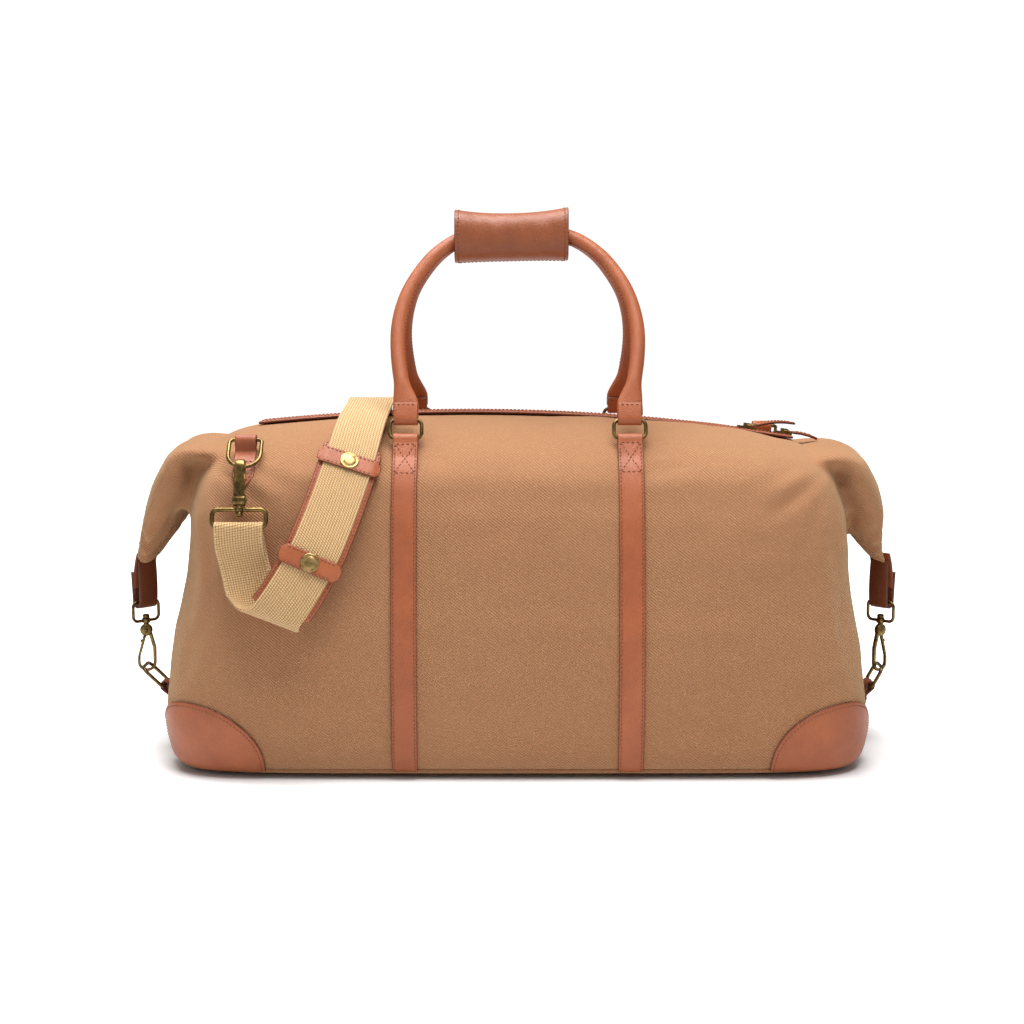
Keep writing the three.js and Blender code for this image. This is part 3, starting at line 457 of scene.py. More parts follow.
def sweep(name, path, section, material, body=None, normal=None, closed=False, cap=0.35):
    """A solid swept along a path; section is a loop of (across, normal) pairs, or a function of 0..1."""
    path = np.asarray(path, float)
    if closed:
        tangent = unit(np.roll(path, -1, 0) - np.roll(path, 1, 0))
    else:
        tangent = unit(np.gradient(path, axis=0))
    if normal is None:
        up = np.empty_like(path)
        first = np.array((0, 0, 1.0)) if abs(tangent[0][2]) < 0.9 else np.array((0, 1.0, 0))
        up[0] = unit(first - tangent[0] * (first @ tangent[0]))
        for k in range(1, len(path)):
            up[k] = unit(up[k - 1] - tangent[k] * (up[k - 1] @ tangent[k]))
    else:
        up = np.broadcast_to(np.asarray(normal, float), path.shape)
    across = unit(np.cross(tangent, up))
    rings = []
    for k in range(len(path)):
        shape = np.asarray(section(k / (len(path) - 1)) if callable(section) else section, float)
        rings.append(path[k] + np.outer(shape[:, 0], across[k]) + np.outer(shape[:, 1], up[k]))
    rings = np.array(rings)
    sides = rings.shape[1]
    if closed:
        rings = np.concatenate([rings, rings[:1]])
        faces = grid_faces(len(rings), sides, True) % (sides * (len(rings) - 1))
        return _placed(make(name, rings[:-1], faces, material), body)
    reach = np.linalg.norm(rings[0] - path[0], axis=1).min() * cap
    start = path[0] + (rings[0] - path[0]) * 0.75 - tangent[0] * reach
    end = path[-1] + (rings[-1] - path[-1]) * 0.75 + tangent[-1] * reach
    rings = np.concatenate([start[None], rings, end[None]])
    faces = grid_faces(len(rings), sides, True).tolist()
    faces.append(list(range(sides)))
    faces.append(list(range(sides * (len(rings) - 1), sides * len(rings))))
    return _placed(make(name, rings, faces, material), body)


def _placed(obj, body):
    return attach(obj, body) if body else obj


def circle(radius, sides=14):
    turn = np.arange(sides) * 2 * math.pi / sides
    return np.stack([np.cos(turn), np.sin(turn)], 1) * radius


def soft_box(across, normal, sides=20, power=0.45):
    turn = (np.arange(sides) + 0.5) * 2 * math.pi / sides
    c, s = np.cos(turn), np.sin(turn)
    return np.stack([np.sign(c) * abs(c) ** power * across / 2, np.sign(s) * abs(s) ** power * normal / 2], 1)


def lathe(profile, centre, axis, sides=40):
    """Rings of (radius, height) about an axis: points and faces."""
    axis = unit(np.asarray(axis, float))
    side = unit(np.cross(axis, (0, 1.0, 0.01) if abs(axis[1]) < 0.9 else (1.0, 0, 0)))
    other = np.cross(axis, side)
    turn = np.arange(sides) * 2 * math.pi / sides
    ring = np.outer(np.cos(turn), side) + np.outer(np.sin(turn), other)
    points = np.concatenate([np.asarray(centre) + ring * max(r, 0.01) + axis * h for r, h in profile])
    faces = grid_faces(len(profile), sides, True).tolist()
    faces += [list(range(sides)), list(range(sides * (len(profile) - 1), sides * len(profile)))]
    return points, faces


def gather(name, parts, material, body, transform=None):
    """Several (points, faces) parts in one mesh, moved by a transform of points."""
    points, faces, start = [], [], 0
    for p, f in parts:
        points.append(p)
        faces += [[i + start for i in face] for face in f]
        start += len(p)
    points = np.concatenate(points)
    return _placed(make(name, transform(points) if transform else points, faces, material), body)


def shape_of(obj):
    """The points and faces of a helper mesh, which is then removed."""
    points = np.array([v.co for v in obj.data.vertices]) / MM
    faces = [list(p.vertices) for p in obj.data.polygons]
    bpy.data.objects.remove(obj)
    return points, faces


def turned(points, axis, angle):
    c, s = math.cos(angle), math.sin(angle)
    a, b = [k for k in range(3) if k != axis] if axis != 1 else (2, 0)
    out = np.array(points, float)
    out[:, a], out[:, b] = c * points[:, a] - s * points[:, b], s * points[:, a] + c * points[:, b]
    return out


def lattice(*axes):
    """A grid of points from x, y and z that spread over its rows and columns."""
    return np.stack(np.broadcast_arrays(*axes), -1).astype(float)


# ------------------------------------------------------------------ the canvas

TABLE_Z = np.arange(LEVELS[0, 0], LEVELS[-1, 0] + 0.01, 0.5)


def table(column):
    values = np.interp(TABLE_Z, LEVELS[:, 0], LEVELS[:, column])
    kernel = np.exp(-0.5 * (np.arange(-16, 17) / 6) ** 2)
    padded = np.concatenate([2 * values[0] - values[16:0:-1], values, 2 * values[-1] - values[-2:-18:-1]])
    return np.convolve(padded, kernel / kernel.sum(), "valid")


LENGTH, DEPTH, SQUARE, SHIFT = (table(k) for k in range(1, 5))
LENGTH, DEPTH = np.maximum(LENGTH, 3), np.maximum(DEPTH, 1)


def measures(z):
    return [np.interp(z, TABLE_Z, column) for column in (LENGTH, DEPTH, SQUARE, SHIFT)]


BODY_SIDES, WING_SIDES, WEB_SIDES = 240, 64, 24


def outline(z, turn):
    """The body's outline at a height: flat faces, tight corners and ends that bulge outwards."""
    length, depth, square, shift = measures(z)
    c, s = np.cos(turn), np.sin(turn)
    x, y = np.sign(c) * abs(c) ** (2 / square), np.sign(s) * abs(s) ** (2 / square)
    bulge = END_BULGE * smooth_step(z, 2, 20) * (1 - 0.6 * smooth_step(z, 160, 235))
    bulge = bulge * smooth_step(z, 276, 250)
    half = length + 5 * smooth_step(z, 4, 16) * smooth_step(z, 170, 90)
    along = x * (half - bulge) + np.sign(x) * bulge * (1 - abs(y) ** CORNER_POWER) * abs(x) ** 4
    return np.stack([along + shift, y * depth], 1)


def smooth_step(value, low, high):
    t = np.clip((value - low) / (high - low), 0, 1)
    return t * t * (3 - 2 * t)


def ring_at(z, count):
    flat = outline(z, np.linspace(0, 2 * math.pi, 1601))
    return even(np.column_stack([flat, np.full(len(flat), z)]), count=count + 1)[:-1]


def capped(rings, sides):
    """A closed tube from rings of points: its points and faces, with a flat cap at each end."""
    last = sides * (len(rings) - 1)
    faces = grid_faces(len(rings), sides, True).tolist()
    return np.concatenate(rings), faces + [list(range(sides)), list(range(last, last + sides))]


def body_loft():
    low, high = LEVELS[0, 0], LEVELS[-1, 0]
    flat_top = [281.5, high]
    z = np.concatenate([np.linspace(low, 14, 7), np.arange(17, 258, 4.0), np.arange(259, 281, 1.5), flat_top])
    return capped([ring_at(h, BODY_SIDES) for h in z], BODY_SIDES)


def wing_loft(side):
    """A sleeve from inside the shoulder out and down to the leather tab."""
    keys = spline(WING_LINES[side], 60)
    rings = []
    for x, z, thick, wide, turn in keys:
        angle = math.radians(turn)
        out = REACH[side] * np.clip((240 - z) / 60, 0, 1)
        t = (np.arange(WING_SIDES) + 0.5) * 2 * math.pi / WING_SIDES
        c, s = np.cos(t), np.sin(t)
        blunt = np.sign(c) * abs(c) ** 0.75 * thick * (1 - 0.28 * np.exp(-(s * 2.2) ** 2) * (c < 0))
        points = np.stack([x + out + blunt * math.cos(angle), np.sign(s) * abs(s) ** 0.7 * wide,
                           z + blunt * math.sin(angle)], 1)
        rings.append(points)
    mirror = (-1 if side == "left" else 1, 1, 1)
    return capped([ring * mirror for ring in rings], WING_SIDES)


def web_loft(sx, sy):
    """Canvas that closes the gap between a wing and the body at its front or back edge."""
    turn = (np.arange(WEB_SIDES) + 0.5) * 2 * math.pi / WEB_SIDES
    c, s = np.cos(turn), np.sin(turn)
    rings = []
    for z, x0, x1, y0, y1 in WEBS:
        x = (x0 + x1) / 2 + np.sign(c) * abs(c) ** 0.6 * (x1 - x0) / 2
        y = (y0 + y1) / 2 + np.sign(s) * abs(s) ** 0.6 * (y1 - y0) / 2
        rings.append(np.stack([sx * x, sy * y, np.full(WEB_SIDES, z)], 1))
    return capped(rings, WEB_SIDES)


def waves(points, size, seed, octaves=3):
    """Smooth seeded noise between about -1 and 1."""
    dice = np.random.default_rng(seed)
    total = np.zeros(len(points))
    for k in range(octaves):
        for _ in range(6):
            direction = dice.normal(size=3)
            direction /= np.linalg.norm(direction)
            phase = points @ direction * 2 * math.pi * 1.7 ** k / size + dice.uniform(0, 7)
            total += np.sin(phase) * 0.7 ** k
    return total / (6 * octaves) ** 0.5 / 1.2


CREASES = [  # on one face near one shoulder: start and end (x, z), width, depth
    (236, 244, 196, 205, 7, 1.6), (241, 232, 214, 172, 6, 1.3), (228, 250, 172, 232, 7, 1.1),
    (247, 214, 238, 150, 6, 1.5), (252, 180, 262, 96, 7, 1.6), (244, 140, 268, 70, 7, 1.1),
    (200, 60, 262, 78, 9, 1.0), (150, 250, 96, 236, 8, 0.8), (110, 40, 190, 26, 9, 0.8),
]


def crease(x, z, x0, z0, x1, z1, width, depth):
    dx, dz = x1 - x0, z1 - z0
    t = np.clip(((x - x0) * dx + (z - z0) * dz) / (dx * dx + dz * dz), -0.1, 1.1)
    off = np.hypot(x - x0 - t * dx, z - z0 - t * dz)
    taper = np.sin(math.pi * np.clip(t, 0.02, 0.98)) ** 0.6
    ridge = np.exp(-((off - width * 1.3) / width) ** 2) * 0.5
    return depth * taper * (ridge - np.exp(-(off / width) ** 2))


def crest(x):
    """Height of the zip's line."""
    return ZIP_TOP - (x - ZIP_CREST) ** 2 / (2 * ZIP_RADIUS)


def sculpt(points, normals):
    """The canvas pushed in and out by soft waves, the straps' pull, creases and gathers."""
    x, y, z = points.T
    face = smooth_step(abs(y), 60, 100)
    lower = smooth_step(z, 8, 40)
    strap = np.exp(-((abs(x) - STRAP_X) / 15) ** 2)
    calm = 1 - strap * 0.85
    push = waves(points, 150, 3, 2) * 1.6 * calm * lower
    push += waves(points, 46, 5, 2) * 0.42 * calm * lower
    bay = np.cos(np.clip(x / STRAP_X, -1, 1) * math.pi / 2) ** 2
    push += face * lower * smooth_step(z, 270, 225) * (1.8 * bay - 1.6 * strap)
    dice = np.random.default_rng(8)
    for sx in (-1, 1):
        for sy in (-1, 1):
            on = face * (np.sign(y) == sy) * (np.sign(x) == sx)
            for x0, z0, x1, z1, width, depth in CREASES:
                dx0, dz0, dx1, dz1 = dice.uniform(-7, 7, 4)
                depth *= dice.uniform(0.7, 1.3)
                push += on * crease(sx * x, z, x0 + dx0, z0 + dz0, x1 + dx1, z1 + dz1, width, depth)
    end = smooth_step(abs(x), 238, 262) * smooth_step(z, 30, 70)
    folds = np.sin(abs(y) / 26 + z / 70 + np.sign(x)) + 0.5 * np.sin(y / 19 - z / 40 + 1)
    push += end * folds * 1.1 * smooth_step(abs(y), 112, 70) * smooth_step(z, 235, 150)
    gathered = smooth_step(z, 236, 175) * smooth_step(z, 146, 160) * smooth_step(abs(x), 274, 286)
    push += gathered * (np.sin(abs(y) * (0.3 + 0.4 * smooth_step(z, 225, 160)) + np.sign(x)) * 1.5)
    moved = points + normals * push[:, None]
    bed = smooth_step(abs(y), 15, 11) * smooth_step(z, 240, 255)
    bed *= smooth_step(x, ZIP_LEFT - 8, ZIP_LEFT) * smooth_step(x, ZIP_RIGHT + 8, ZIP_RIGHT)
    moved[:, 2] = moved[:, 2] * (1 - bed) + (crest(x) - 2.2) * bed
    return moved


def evaluated(obj, name):
    mesh = bpy.data.meshes.new_from_object(obj.evaluated_get(bpy.context.evaluated_depsgraph_get()))
    mesh.name = name
    return mesh


SKIN_VOXEL = 3.4


def canvas_mesh():
    parts = [body_loft(), wing_loft("left"), wing_loft("right")]
    parts += [web_loft(sx, sy) for sx in (-1, 1) for sy in (-1, 1)]
    rough = gather("rough", parts, CANVAS, None)
    remesh = rough.modifiers.new("skin", "REMESH")
    remesh.mode, remesh.voxel_size = "VOXEL", SKIN_VOXEL * MM
    relax = rough.modifiers.new("relax", "SMOOTH")
    relax.factor, relax.iterations = 0.5, 7
    mesh = evaluated(rough, "canvas")
    bpy.data.objects.remove(rough)
    count = len(mesh.vertices)
    points, normals = np.empty(count * 3), np.empty(count * 3)
    mesh.vertices.foreach_get("co", points)
    mesh.vertex_normals.foreach_get("vector", normals)
    moved = sculpt(points.reshape(-1, 3) / MM, normals.reshape(-1, 3))
    mesh.vertices.foreach_set("co", (moved * MM).ravel())
    mesh.update()
    return mesh


def split_canvas(mesh):
    """Left, middle and right pieces that meet under the vertical straps."""
    edit = bmesh.new()
    edit.from_mesh(mesh)
    for x in (-STRAP_X, STRAP_X):
        geometry = edit.verts[:] + edit.edges[:] + edit.faces[:]
        bmesh.ops.bisect_plane(edit, geom=geometry, plane_co=(x * MM, 0, 0), plane_no=(1, 0, 0), dist=1e-7)
    edit.normal_update()
    normals = {tuple(v.co): v.normal.copy() for v in edit.verts}
    pieces = {}
    seam = STRAP_X * MM
    for name, low, high in (("left", -1, -seam), ("middle", -seam, seam), ("right", seam, 1)):
        part = edit.copy()
        away = [f for f in part.faces if not low < f.calc_center_median().x < high]
        bmesh.ops.delete(part, geom=away, context="FACES")
        data = bpy.data.meshes.new(f"canvas_{name}")
        part.to_mesh(data)
        part.free()
        data.shade_smooth()
        data.normals_split_custom_set_from_vertices([normals[tuple(v.co)] for v in data.vertices])
        data.materials.clear()
        data.materials.append(CANVAS)
        obj = bpy.data.objects.new(f"canvas_{name}", data)
        bpy.context.scene.collection.objects.link(obj)
        pieces[name] = obj
    edit.free()
    return pieces


canvas = canvas_mesh()
canvas_tree = BVHTree.FromPolygons([v.co.copy() for v in canvas.vertices],
                                   [tuple(p.vertices) for p in canvas.polygons])
pieces = split_canvas(canvas)
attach(pieces["middle"], "bag")
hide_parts("front_panel", "back_panel", "base_panel")
for side, sign in (("left", -1), ("right", 1)):
    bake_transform(pieces[side])
    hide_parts(f"{side}_end_panel", f"wing_{side}")


def on_canvas(point, direction):
    """Where a ray from outside meets the canvas, with the normal there; millimetres."""
    hit, normal, _, _ = canvas_tree.ray_cast(Vector(np.asarray(point) * MM), Vector(direction))
    return np.array(hit) / MM, np.array(normal)


# ------------------------------------------------------------------ straps up the faces


def face_profile(x, sign, heights):
    """(y, z) of the canvas along a vertical line of one face; sign is -1 in front."""
    found = []
    for z in heights:
        hits = [on_canvas((x + dx, sign * 300, z), (0, -sign, 0))[0][1] for dx in (-8, -4, 0, 4, 8)]
        found.append((sign * max(sign * h for h in hits), z))
    return np.array(found)


def strap_grid(path, x, width, edge=1.0, steps=7):
    """A grid over a path in a plane of constant x."""
    across = rounded(steps, width, edge) - width / 2
    return lattice(x + across, path[:, :1], path[:, 1:])


def ended(path, edge=1.0):
    """A path resampled with points crowded at its two ends."""
    s = lengths(path)
    at = rounded(int(s[-1] / 2.2), s[-1], edge)
    return np.stack([np.interp(at, s, path[:, k]) for k in range(path.shape[1])], 1)


def smoothed(values, passes=6):
    values = values.copy()
    for _ in range(passes):
        values[1:-1] = (values[:-2] + 2 * values[1:-1] + values[2:]) / 4
    return values


def loop_round(y, z, toward, radius=STRAP_LOOP):
    """A strap's turn over a ring's bar, in (y, z)."""
    turn = np.radians(np.arange(200, -71, -15.0))
    return np.stack([y + toward * np.cos(turn) * radius, z + np.sin(turn) * radius], 1)


def vertical_strap(face, side, sign, x):
    """From under the base, up one face, over the handle ring's bar and down to a crossed box of stitches."""
    outward = sign * 1.35
    z = np.linspace(10, 252, 90)
    profile = face_profile(x, sign, z)
    doubled = smooth_step(z, 236, 246) * 2.0 * sign
    profile[:, 0] = smoothed(profile[:, 0] + outward + doubled)
    under = np.array([(sign * 70, 3.6), (sign * 96, 3.7), (sign * 108, 4.6), (sign * 116, 7)])
    loop = loop_round(sign * abs(RING_LOW[0]), RING_LOW[1], -sign)
    tail = face_profile(x, sign, np.array([255, 248, 241.0]))
    tail[:, 0] += outward
    path = ended(even(spline(np.vstack([under, profile]), 400), step=0.5))
    path = ended(np.vstack([path[path[:, 1] < 252], loop, tail]))
    slab = Slab(f"strap_{face}_{side}_leather", strap_grid(path, x, STRAP_WIDTH), STRAP_THICK, LEATHER,
                body="bag", flip=sign < 0)
    top = slab.u[np.argmax(path[:, 1])] - 9
    box, left, right = top - 26, 2.2, STRAP_WIDTH - 2.2
    slab.stitch([(40, 1.9), (top, 1.9)], [(40, STRAP_WIDTH - 1.9), (top, STRAP_WIDTH - 1.9)],
                [(box, left), (box, right)], [(top, left), (top, right)],
                [(box, left), (top, right)], [(box, right), (top, left)])
    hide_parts(f"strap_{face}_{side}")


for face, sign in (("front", -1), ("back", 1)):
    for side, x in (("left", -STRAP_X), ("right", STRAP_X)):
        vertical_strap(face, side, sign, x)

# ------------------------------------------------------------------ corner patches and base piping


def edge_run(corner_x, corner_y, z, count=700):
    """Distance round the body from one vertical corner, with the outline there."""
    turn = np.linspace(-math.pi / 4, math.pi * 3 / 4, count)
    line = outline(z, turn) * (corner_x, corner_y)
    run = lengths(line)
    return run - np.interp(math.pi / 4, turn, run), line


PATCH_LOW, PATCH_INSET = 3.8, 3.0
PATCH_CENTRE, PATCH_SIZE = np.array((262, 116, 10)), np.array((64, 68, 50))


def corner_patch(name, node, corner_x, corner_y):
    """A patch over one lower corner, cut where an ellipsoid meets the canvas."""
    centre = PATCH_CENTRE * (corner_x, corner_y, 1)
    angles = np.linspace(0, math.pi, 72)
    share = np.concatenate([np.linspace(0, 0.54, 10), np.linspace(0.6, 0.985, 14), [0.993, 0.998, 1.0]])
    zs = np.linspace(3.4, 64, 122)
    runs = [edge_run(corner_x, corner_y, z) for z in zs]

    def place(s, z):
        k = np.clip(np.interp(z, zs, np.arange(len(zs))), 0, len(zs) - 1.001)
        low = int(k)
        spots = [np.array([np.interp(s, run, line[:, axis]) for axis in (0, 1)])
                 for run, line in runs[low:low + 2]]
        spot = spots[0] * (1 - k + low) + spots[1] * (k - low)
        return np.array((spot[0], spot[1], z))

    grid = np.empty((len(angles), len(share), 3))
    for a, angle in enumerate(angles):
        low, high = 5.0, 110.0
        for _ in range(18):
            reach = (low + high) / 2
            spot = place(math.cos(angle) * reach, min(PATCH_LOW + math.sin(angle) * reach, 63))
            inside = (((spot - centre) / PATCH_SIZE) ** 2).sum() < 1
            low, high = (reach, high) if inside else (low, reach)
        for r, part in enumerate(share):
            reach = low * part
            grid[a, r] = place(math.cos(angle) * reach, PATCH_LOW + math.sin(angle) * reach)
    normal = np.empty_like(grid)
    for a in range(grid.shape[0]):
        for r in range(grid.shape[1]):
            found, out, _, _ = canvas_tree.find_nearest(Vector(grid[a, r] * MM))
            grid[a, r], normal[a, r] = np.array(found) / MM, np.array(out)
    inner = normal[1:-1, 1:-1]
    for _ in range(3):
        beside = normal[:-2, 1:-1] + normal[2:, 1:-1] + normal[1:-1, :-2] + normal[1:-1, 2:]
        inner[:] = unit(beside + inner)
    normal[..., 2] *= smooth_step(grid[..., 2], 3, 14)
    normal = unit(normal)
    order = np.cross(grid[37, 12] - grid[36, 12], grid[36, 13] - grid[36, 12]) @ normal[36, 12]
    to_rim = np.linspace(1, 0, len(share))
    lift = 1.3 + 1.1 * to_rim ** 2 + 0.3 * np.sin(angles)[:, None] * to_rim
    grid = grid + normal * lift[..., None]
    slab = Slab(name, grid, 2.0, LEATHER, edge=1.1, body="bag", flip=order < 0)
    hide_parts(node)
    points, normals = [], []
    for a in range(1, len(angles) - 1):
        run = lengths(grid[a])
        i = np.interp(run[-1] - PATCH_INSET, run, np.arange(len(run)))
        k = int(i)
        points.append(grid[a, k] * (1 - i + k) + grid[a, min(k + 1, len(run) - 1)] * (i - k) + normal[a, k])
        normals.append(normal[a, k])
    stitches(f"{name}_stitches", [(np.array(points), np.array(normals))], "bag", THREAD)


for face, sy in (("front", -1), ("back", 1)):
    for side, sx in (("left", -1), ("right", 1)):
        corner_patch(f"corner_{face}_{side}", f"corner_patch_{face}_{side}", sx, sy)

PIPING_Z, PIPING_RADIUS, PIPING_OUT = 6.4, 2.1, 1.2
piping = ring_at(PIPING_Z, 400)
piping[:, :2] *= 1 + PIPING_OUT / np.linalg.norm(piping[:, :2], axis=1, keepdims=True)
piping_obj = sweep("base_piping", piping, circle(PIPING_RADIUS, 12), CANVAS, "bag", normal=(0, 0, 1),
                   closed=True)

# ------------------------------------------------------------------ rings, handles and grip

PLANE_UP = np.array((0, math.sin(HANDLE_LEAN), math.cos(HANDLE_LEAN)))
PLANE_NORMAL = np.array((0, math.cos(HANDLE_LEAN), -math.sin(HANDLE_LEAN)))


def in_handle_plane(x, z):
    """A point of the front handle's plane at a distance from the middle and a height."""
    return np.array((x, RING_LOW[0] + (z - RING_LOW[1]) * math.tan(HANDLE_LEAN), z))


def ring_path(width, height, corner, place, steps=9):
    """A rounded rectangle through a function of (across, up)."""
    half, points = width / 2, []
    for cx, cy, first in ((half - corner, corner, -90), (half - corner, height - corner, 0),
                          (-half + corner, height - corner, 90), (-half + corner, corner, 180)):
        for k in range(steps + 1):
            a = math.radians(first + 90 * k / steps)
            points.append((cx + corner * math.cos(a), cy + corner * math.sin(a)))
    points.append(points[0])
    return np.array([place(a, u) for a, u in even(points, step=0.8)[:-1]])


def faced(points, sign):
    """Points drawn for the front, or their mirror image at the back."""
    return points * (1, -sign, 1) if sign > 0 else points


def both(fn):
    for face, sign in (("front", -1), ("back", 1)):
        fn(face, sign)


def handle_rings(face, sign):
    for side, x in (("left", -STRAP_X), ("right", STRAP_X)):
        up = math.cos(HANDLE_LEAN)
        path = ring_path(*RING_SIZE, lambda a, u: in_handle_plane(x + a, RING_LOW[1] + u * up))
        normal = PLANE_NORMAL * (1, -sign, 1)
        obj = sweep(f"ring_{face}_{side}", faced(path, sign), circle(RING_WIRE), BRASS, f"{face}_rings",
                    normal, closed=True)
        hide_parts(f"handle_ring_{face}_{side}")


HANDLE_RADIUS, HANDLE_SIDES = 5.75, 24
FOLD_WIDTH, FOLD_THICK, FOLD_TURN = 19.2, 1.8, 3.5
FOLD_LINE = [(4.4, 13), (4.4, 9), (4.1, 5)]  # out from the ring's top bar and up, on each side


def handle(face, sign):
    """A rolled handle that flattens at its feet, with a fold of leather round each ring."""
    arch = HANDLE_PATH + [(0, 430)] + [(-x, z) for x, z in reversed(HANDLE_PATH)]
    path = even(spline([in_handle_plane(x, z) for x, z in arch], 600), step=2.4)
    high = in_handle_plane(0, RING_LOW[1] + RING_SIZE[1] * math.cos(HANDLE_LEAN))
    for x, end in ((STRAP_X, 0), (-STRAP_X, -1)):
        foot = np.array((x, high[1], high[2])) + PLANE_UP * 4
        extra = even(np.array([foot, path[end]]), step=2.4)[:-1]
        path = np.vstack([extra, path]) if end == 0 else np.vstack([path, extra[::-1]])
    s = lengths(path)
    turn = np.arange(HANDLE_SIDES) * 2 * math.pi / HANDLE_SIDES
    c, sn = np.cos(turn), np.sin(turn)
    seam = 0.07 * np.exp(-((turn - math.pi) / 0.25) ** 2)

    def section(t):
        flat = float(smooth_step(min(t, 1 - t) * s[-1], 32, 7))
        ripple = 0.015 * math.sin(t * s[-1] / 9) * (1 - flat)
        power = 1 - 0.35 * flat
        radius = HANDLE_RADIUS * (1 + seam + ripple)
        return np.stack([np.sign(c) * abs(c) ** power * radius * (1 + 0.72 * flat),
                         np.sign(sn) * abs(sn) ** power * radius * (1 - 0.42 * flat)], 1)

    normal = PLANE_NORMAL * (1, -sign, 1)
    body = f"{face}_handle"
    inner = faced(path, sign)
    obj = sweep(f"handle_{face}_roll", inner, section, LEATHER, body, normal)
    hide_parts(f"handle_{face}")
    inwards = unit(np.cross(normal, unit(np.gradient(inner, axis=0))))
    inwards *= np.sign((inwards * (np.array((0, 0, 330)) - inner)).sum(1).mean())
    keep = slice(16, -16)
    line = inner[keep] + inwards[keep] * (HANDLE_RADIUS - 0.05) - normal * 1.6
    stitches(f"handle_{face}_seam", [(line, unit(inwards[keep] - normal * 0.3))], body, THREAD)
    across = rounded(7, FOLD_WIDTH, 0.9) - FOLD_WIDTH / 2
    for side, x in (("left", -STRAP_X), ("right", STRAP_X)):
        centre = np.array((x, high[1], high[2]))
        turns = np.radians(np.arange(0, -181, -15.0))
        loop = [centre + (PLANE_NORMAL * math.cos(a) + PLANE_UP * math.sin(a)) * FOLD_TURN for a in turns]
        rise = [centre + PLANE_NORMAL * w + PLANE_UP * u for w, u in FOLD_LINE]
        fall = [centre - PLANE_NORMAL * w + PLANE_UP * u for w, u in reversed(FOLD_LINE)]
        line = ended(even(spline(faced(np.array(rise + loop + fall), sign), 160), step=0.6), 0.9)
        grid = lattice(line[:, :1] + across, line[:, 1:2], line[:, 2:])
        slab = Slab(f"handle_{face}_{side}_fold", grid, FOLD_THICK, LEATHER, edge=0.9, body=body,
                    flip=sign > 0)
        end, far = slab.u[-1] - 2, FOLD_WIDTH - 2
        for where, name in ((1, "stitches_in"), (-1, "stitches_out")):
            slab.stitch([(2, 2), (2, far)], [(end, 2), (end, far)], side=where, name=name)


def grip(face, sign):
    """Half of the leather wrap; its ends stand a little taller than its middle."""
    along = rounded(34, GRIP_RIGHT - GRIP_LEFT, 1.0)
    around = np.linspace(0, 1, 44)
    grid = np.empty((len(along), len(around), 3))
    for i, a in enumerate(along):
        u = 2 * a / (GRIP_RIGHT - GRIP_LEFT) - 1
        saddle = 1 + 0.13 * abs(u) ** 2.4
        sag = 1.6 * (1 - u * u) - 1.0 * u
        for j, b in enumerate(around):
            angle = math.pi / 2 + b * math.pi * 1.03
            c, s = math.cos(angle), math.sin(angle)
            y = sign * (0.3 + abs(min(c, 0)) ** 0.75 * GRIP_DEPTH)
            z = math.copysign(abs(s) ** 0.7, s) * GRIP_HALF_HEIGHT * saddle
            ripple = 0.5 * math.sin(a / 6 + b * 5 + sign) + 0.35 * math.sin(a / 2.9 - b * 7)
            grid[i, j] = (GRIP_LEFT + a, y + sign * ripple * abs(c), GRIP_MIDDLE - sag + z)
    slab = Slab(f"grip_{face}_wrap", grid, 1.7, WORN_LEATHER, edge=0.9, body=f"{face}_handle", flip=sign < 0)
    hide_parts(f"grip_{face}")
    wide, long = slab.v[-1], slab.u[-1]
    slab.stitch([(3.2, 2), (3.2, wide - 2)], [(long - 3.2, 2), (long - 3.2, wide - 2)], side=1, name="ends")
    slab.stitch([(3.2, wide - 2.4), (long - 3.2, wide - 2.4)], side=1, name="hem")


both(handle_rings)
both(handle)
both(grip)

# ------------------------------------------------------------------ zip

TRIM_WIDTH, TRIM_THICK, TOOTH_PITCH = 8.2, 2.0, 3.0


def zip_half(face, sign):
    """A leather trim, the tape under it and a row of teeth."""
    x = ZIP_LEFT + rounded(120, ZIP_RIGHT - ZIP_LEFT, 1.2)[:, None]
    across = rounded(5, TRIM_WIDTH, 1.1) + 4.2
    grid = lattice(x, sign * across, crest(x) + 0.4 - 0.02 * (across - 8) ** 2)
    trim = Slab(f"zip_trim_{face}", grid, TRIM_THICK, LEATHER, edge=1.0, body="bag", flip=sign < 0)
    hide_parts(f"zip_half_{face}")
    trim.stitch([(2, 5.6), (trim.u[-1] - 2, 5.6)], [(2, 2.0), (trim.u[-1] - 2, 2.0)])
    grid = lattice(x, sign * np.linspace(0.3, 6, 6), crest(x) - 0.9)
    Slab(f"zip_tape_{face}", grid, 1.0, TAPE, edge=0.4, body="bag", rim=False, flip=sign < 0)
    corners = np.array([(dx, sign * dy, dz)
                        for dx in (-0.75, 0.75) for dy in (-0.7, 2.4) for dz in (-1.75, 0.25)])
    faces = [(0, 1, 3, 2), (4, 6, 7, 5), (0, 4, 5, 1), (2, 3, 7, 6), (0, 2, 6, 4), (1, 5, 7, 3)]
    first = ZIP_LEFT + 4 + (0 if sign < 0 else TOOTH_PITCH / 2)
    parts = [(corners + (k, 0, crest(k)), faces) for k in np.arange(first, ZIP_RIGHT - 4, TOOTH_PITCH)]
    teeth = gather(f"zip_teeth_{face}", parts, BRASS, "bag")
    bevel = teeth.modifiers.new("soft", "BEVEL")
    bevel.width, bevel.segments = 0.0003, 1
    teeth.data.shade_flat()


both(zip_half)


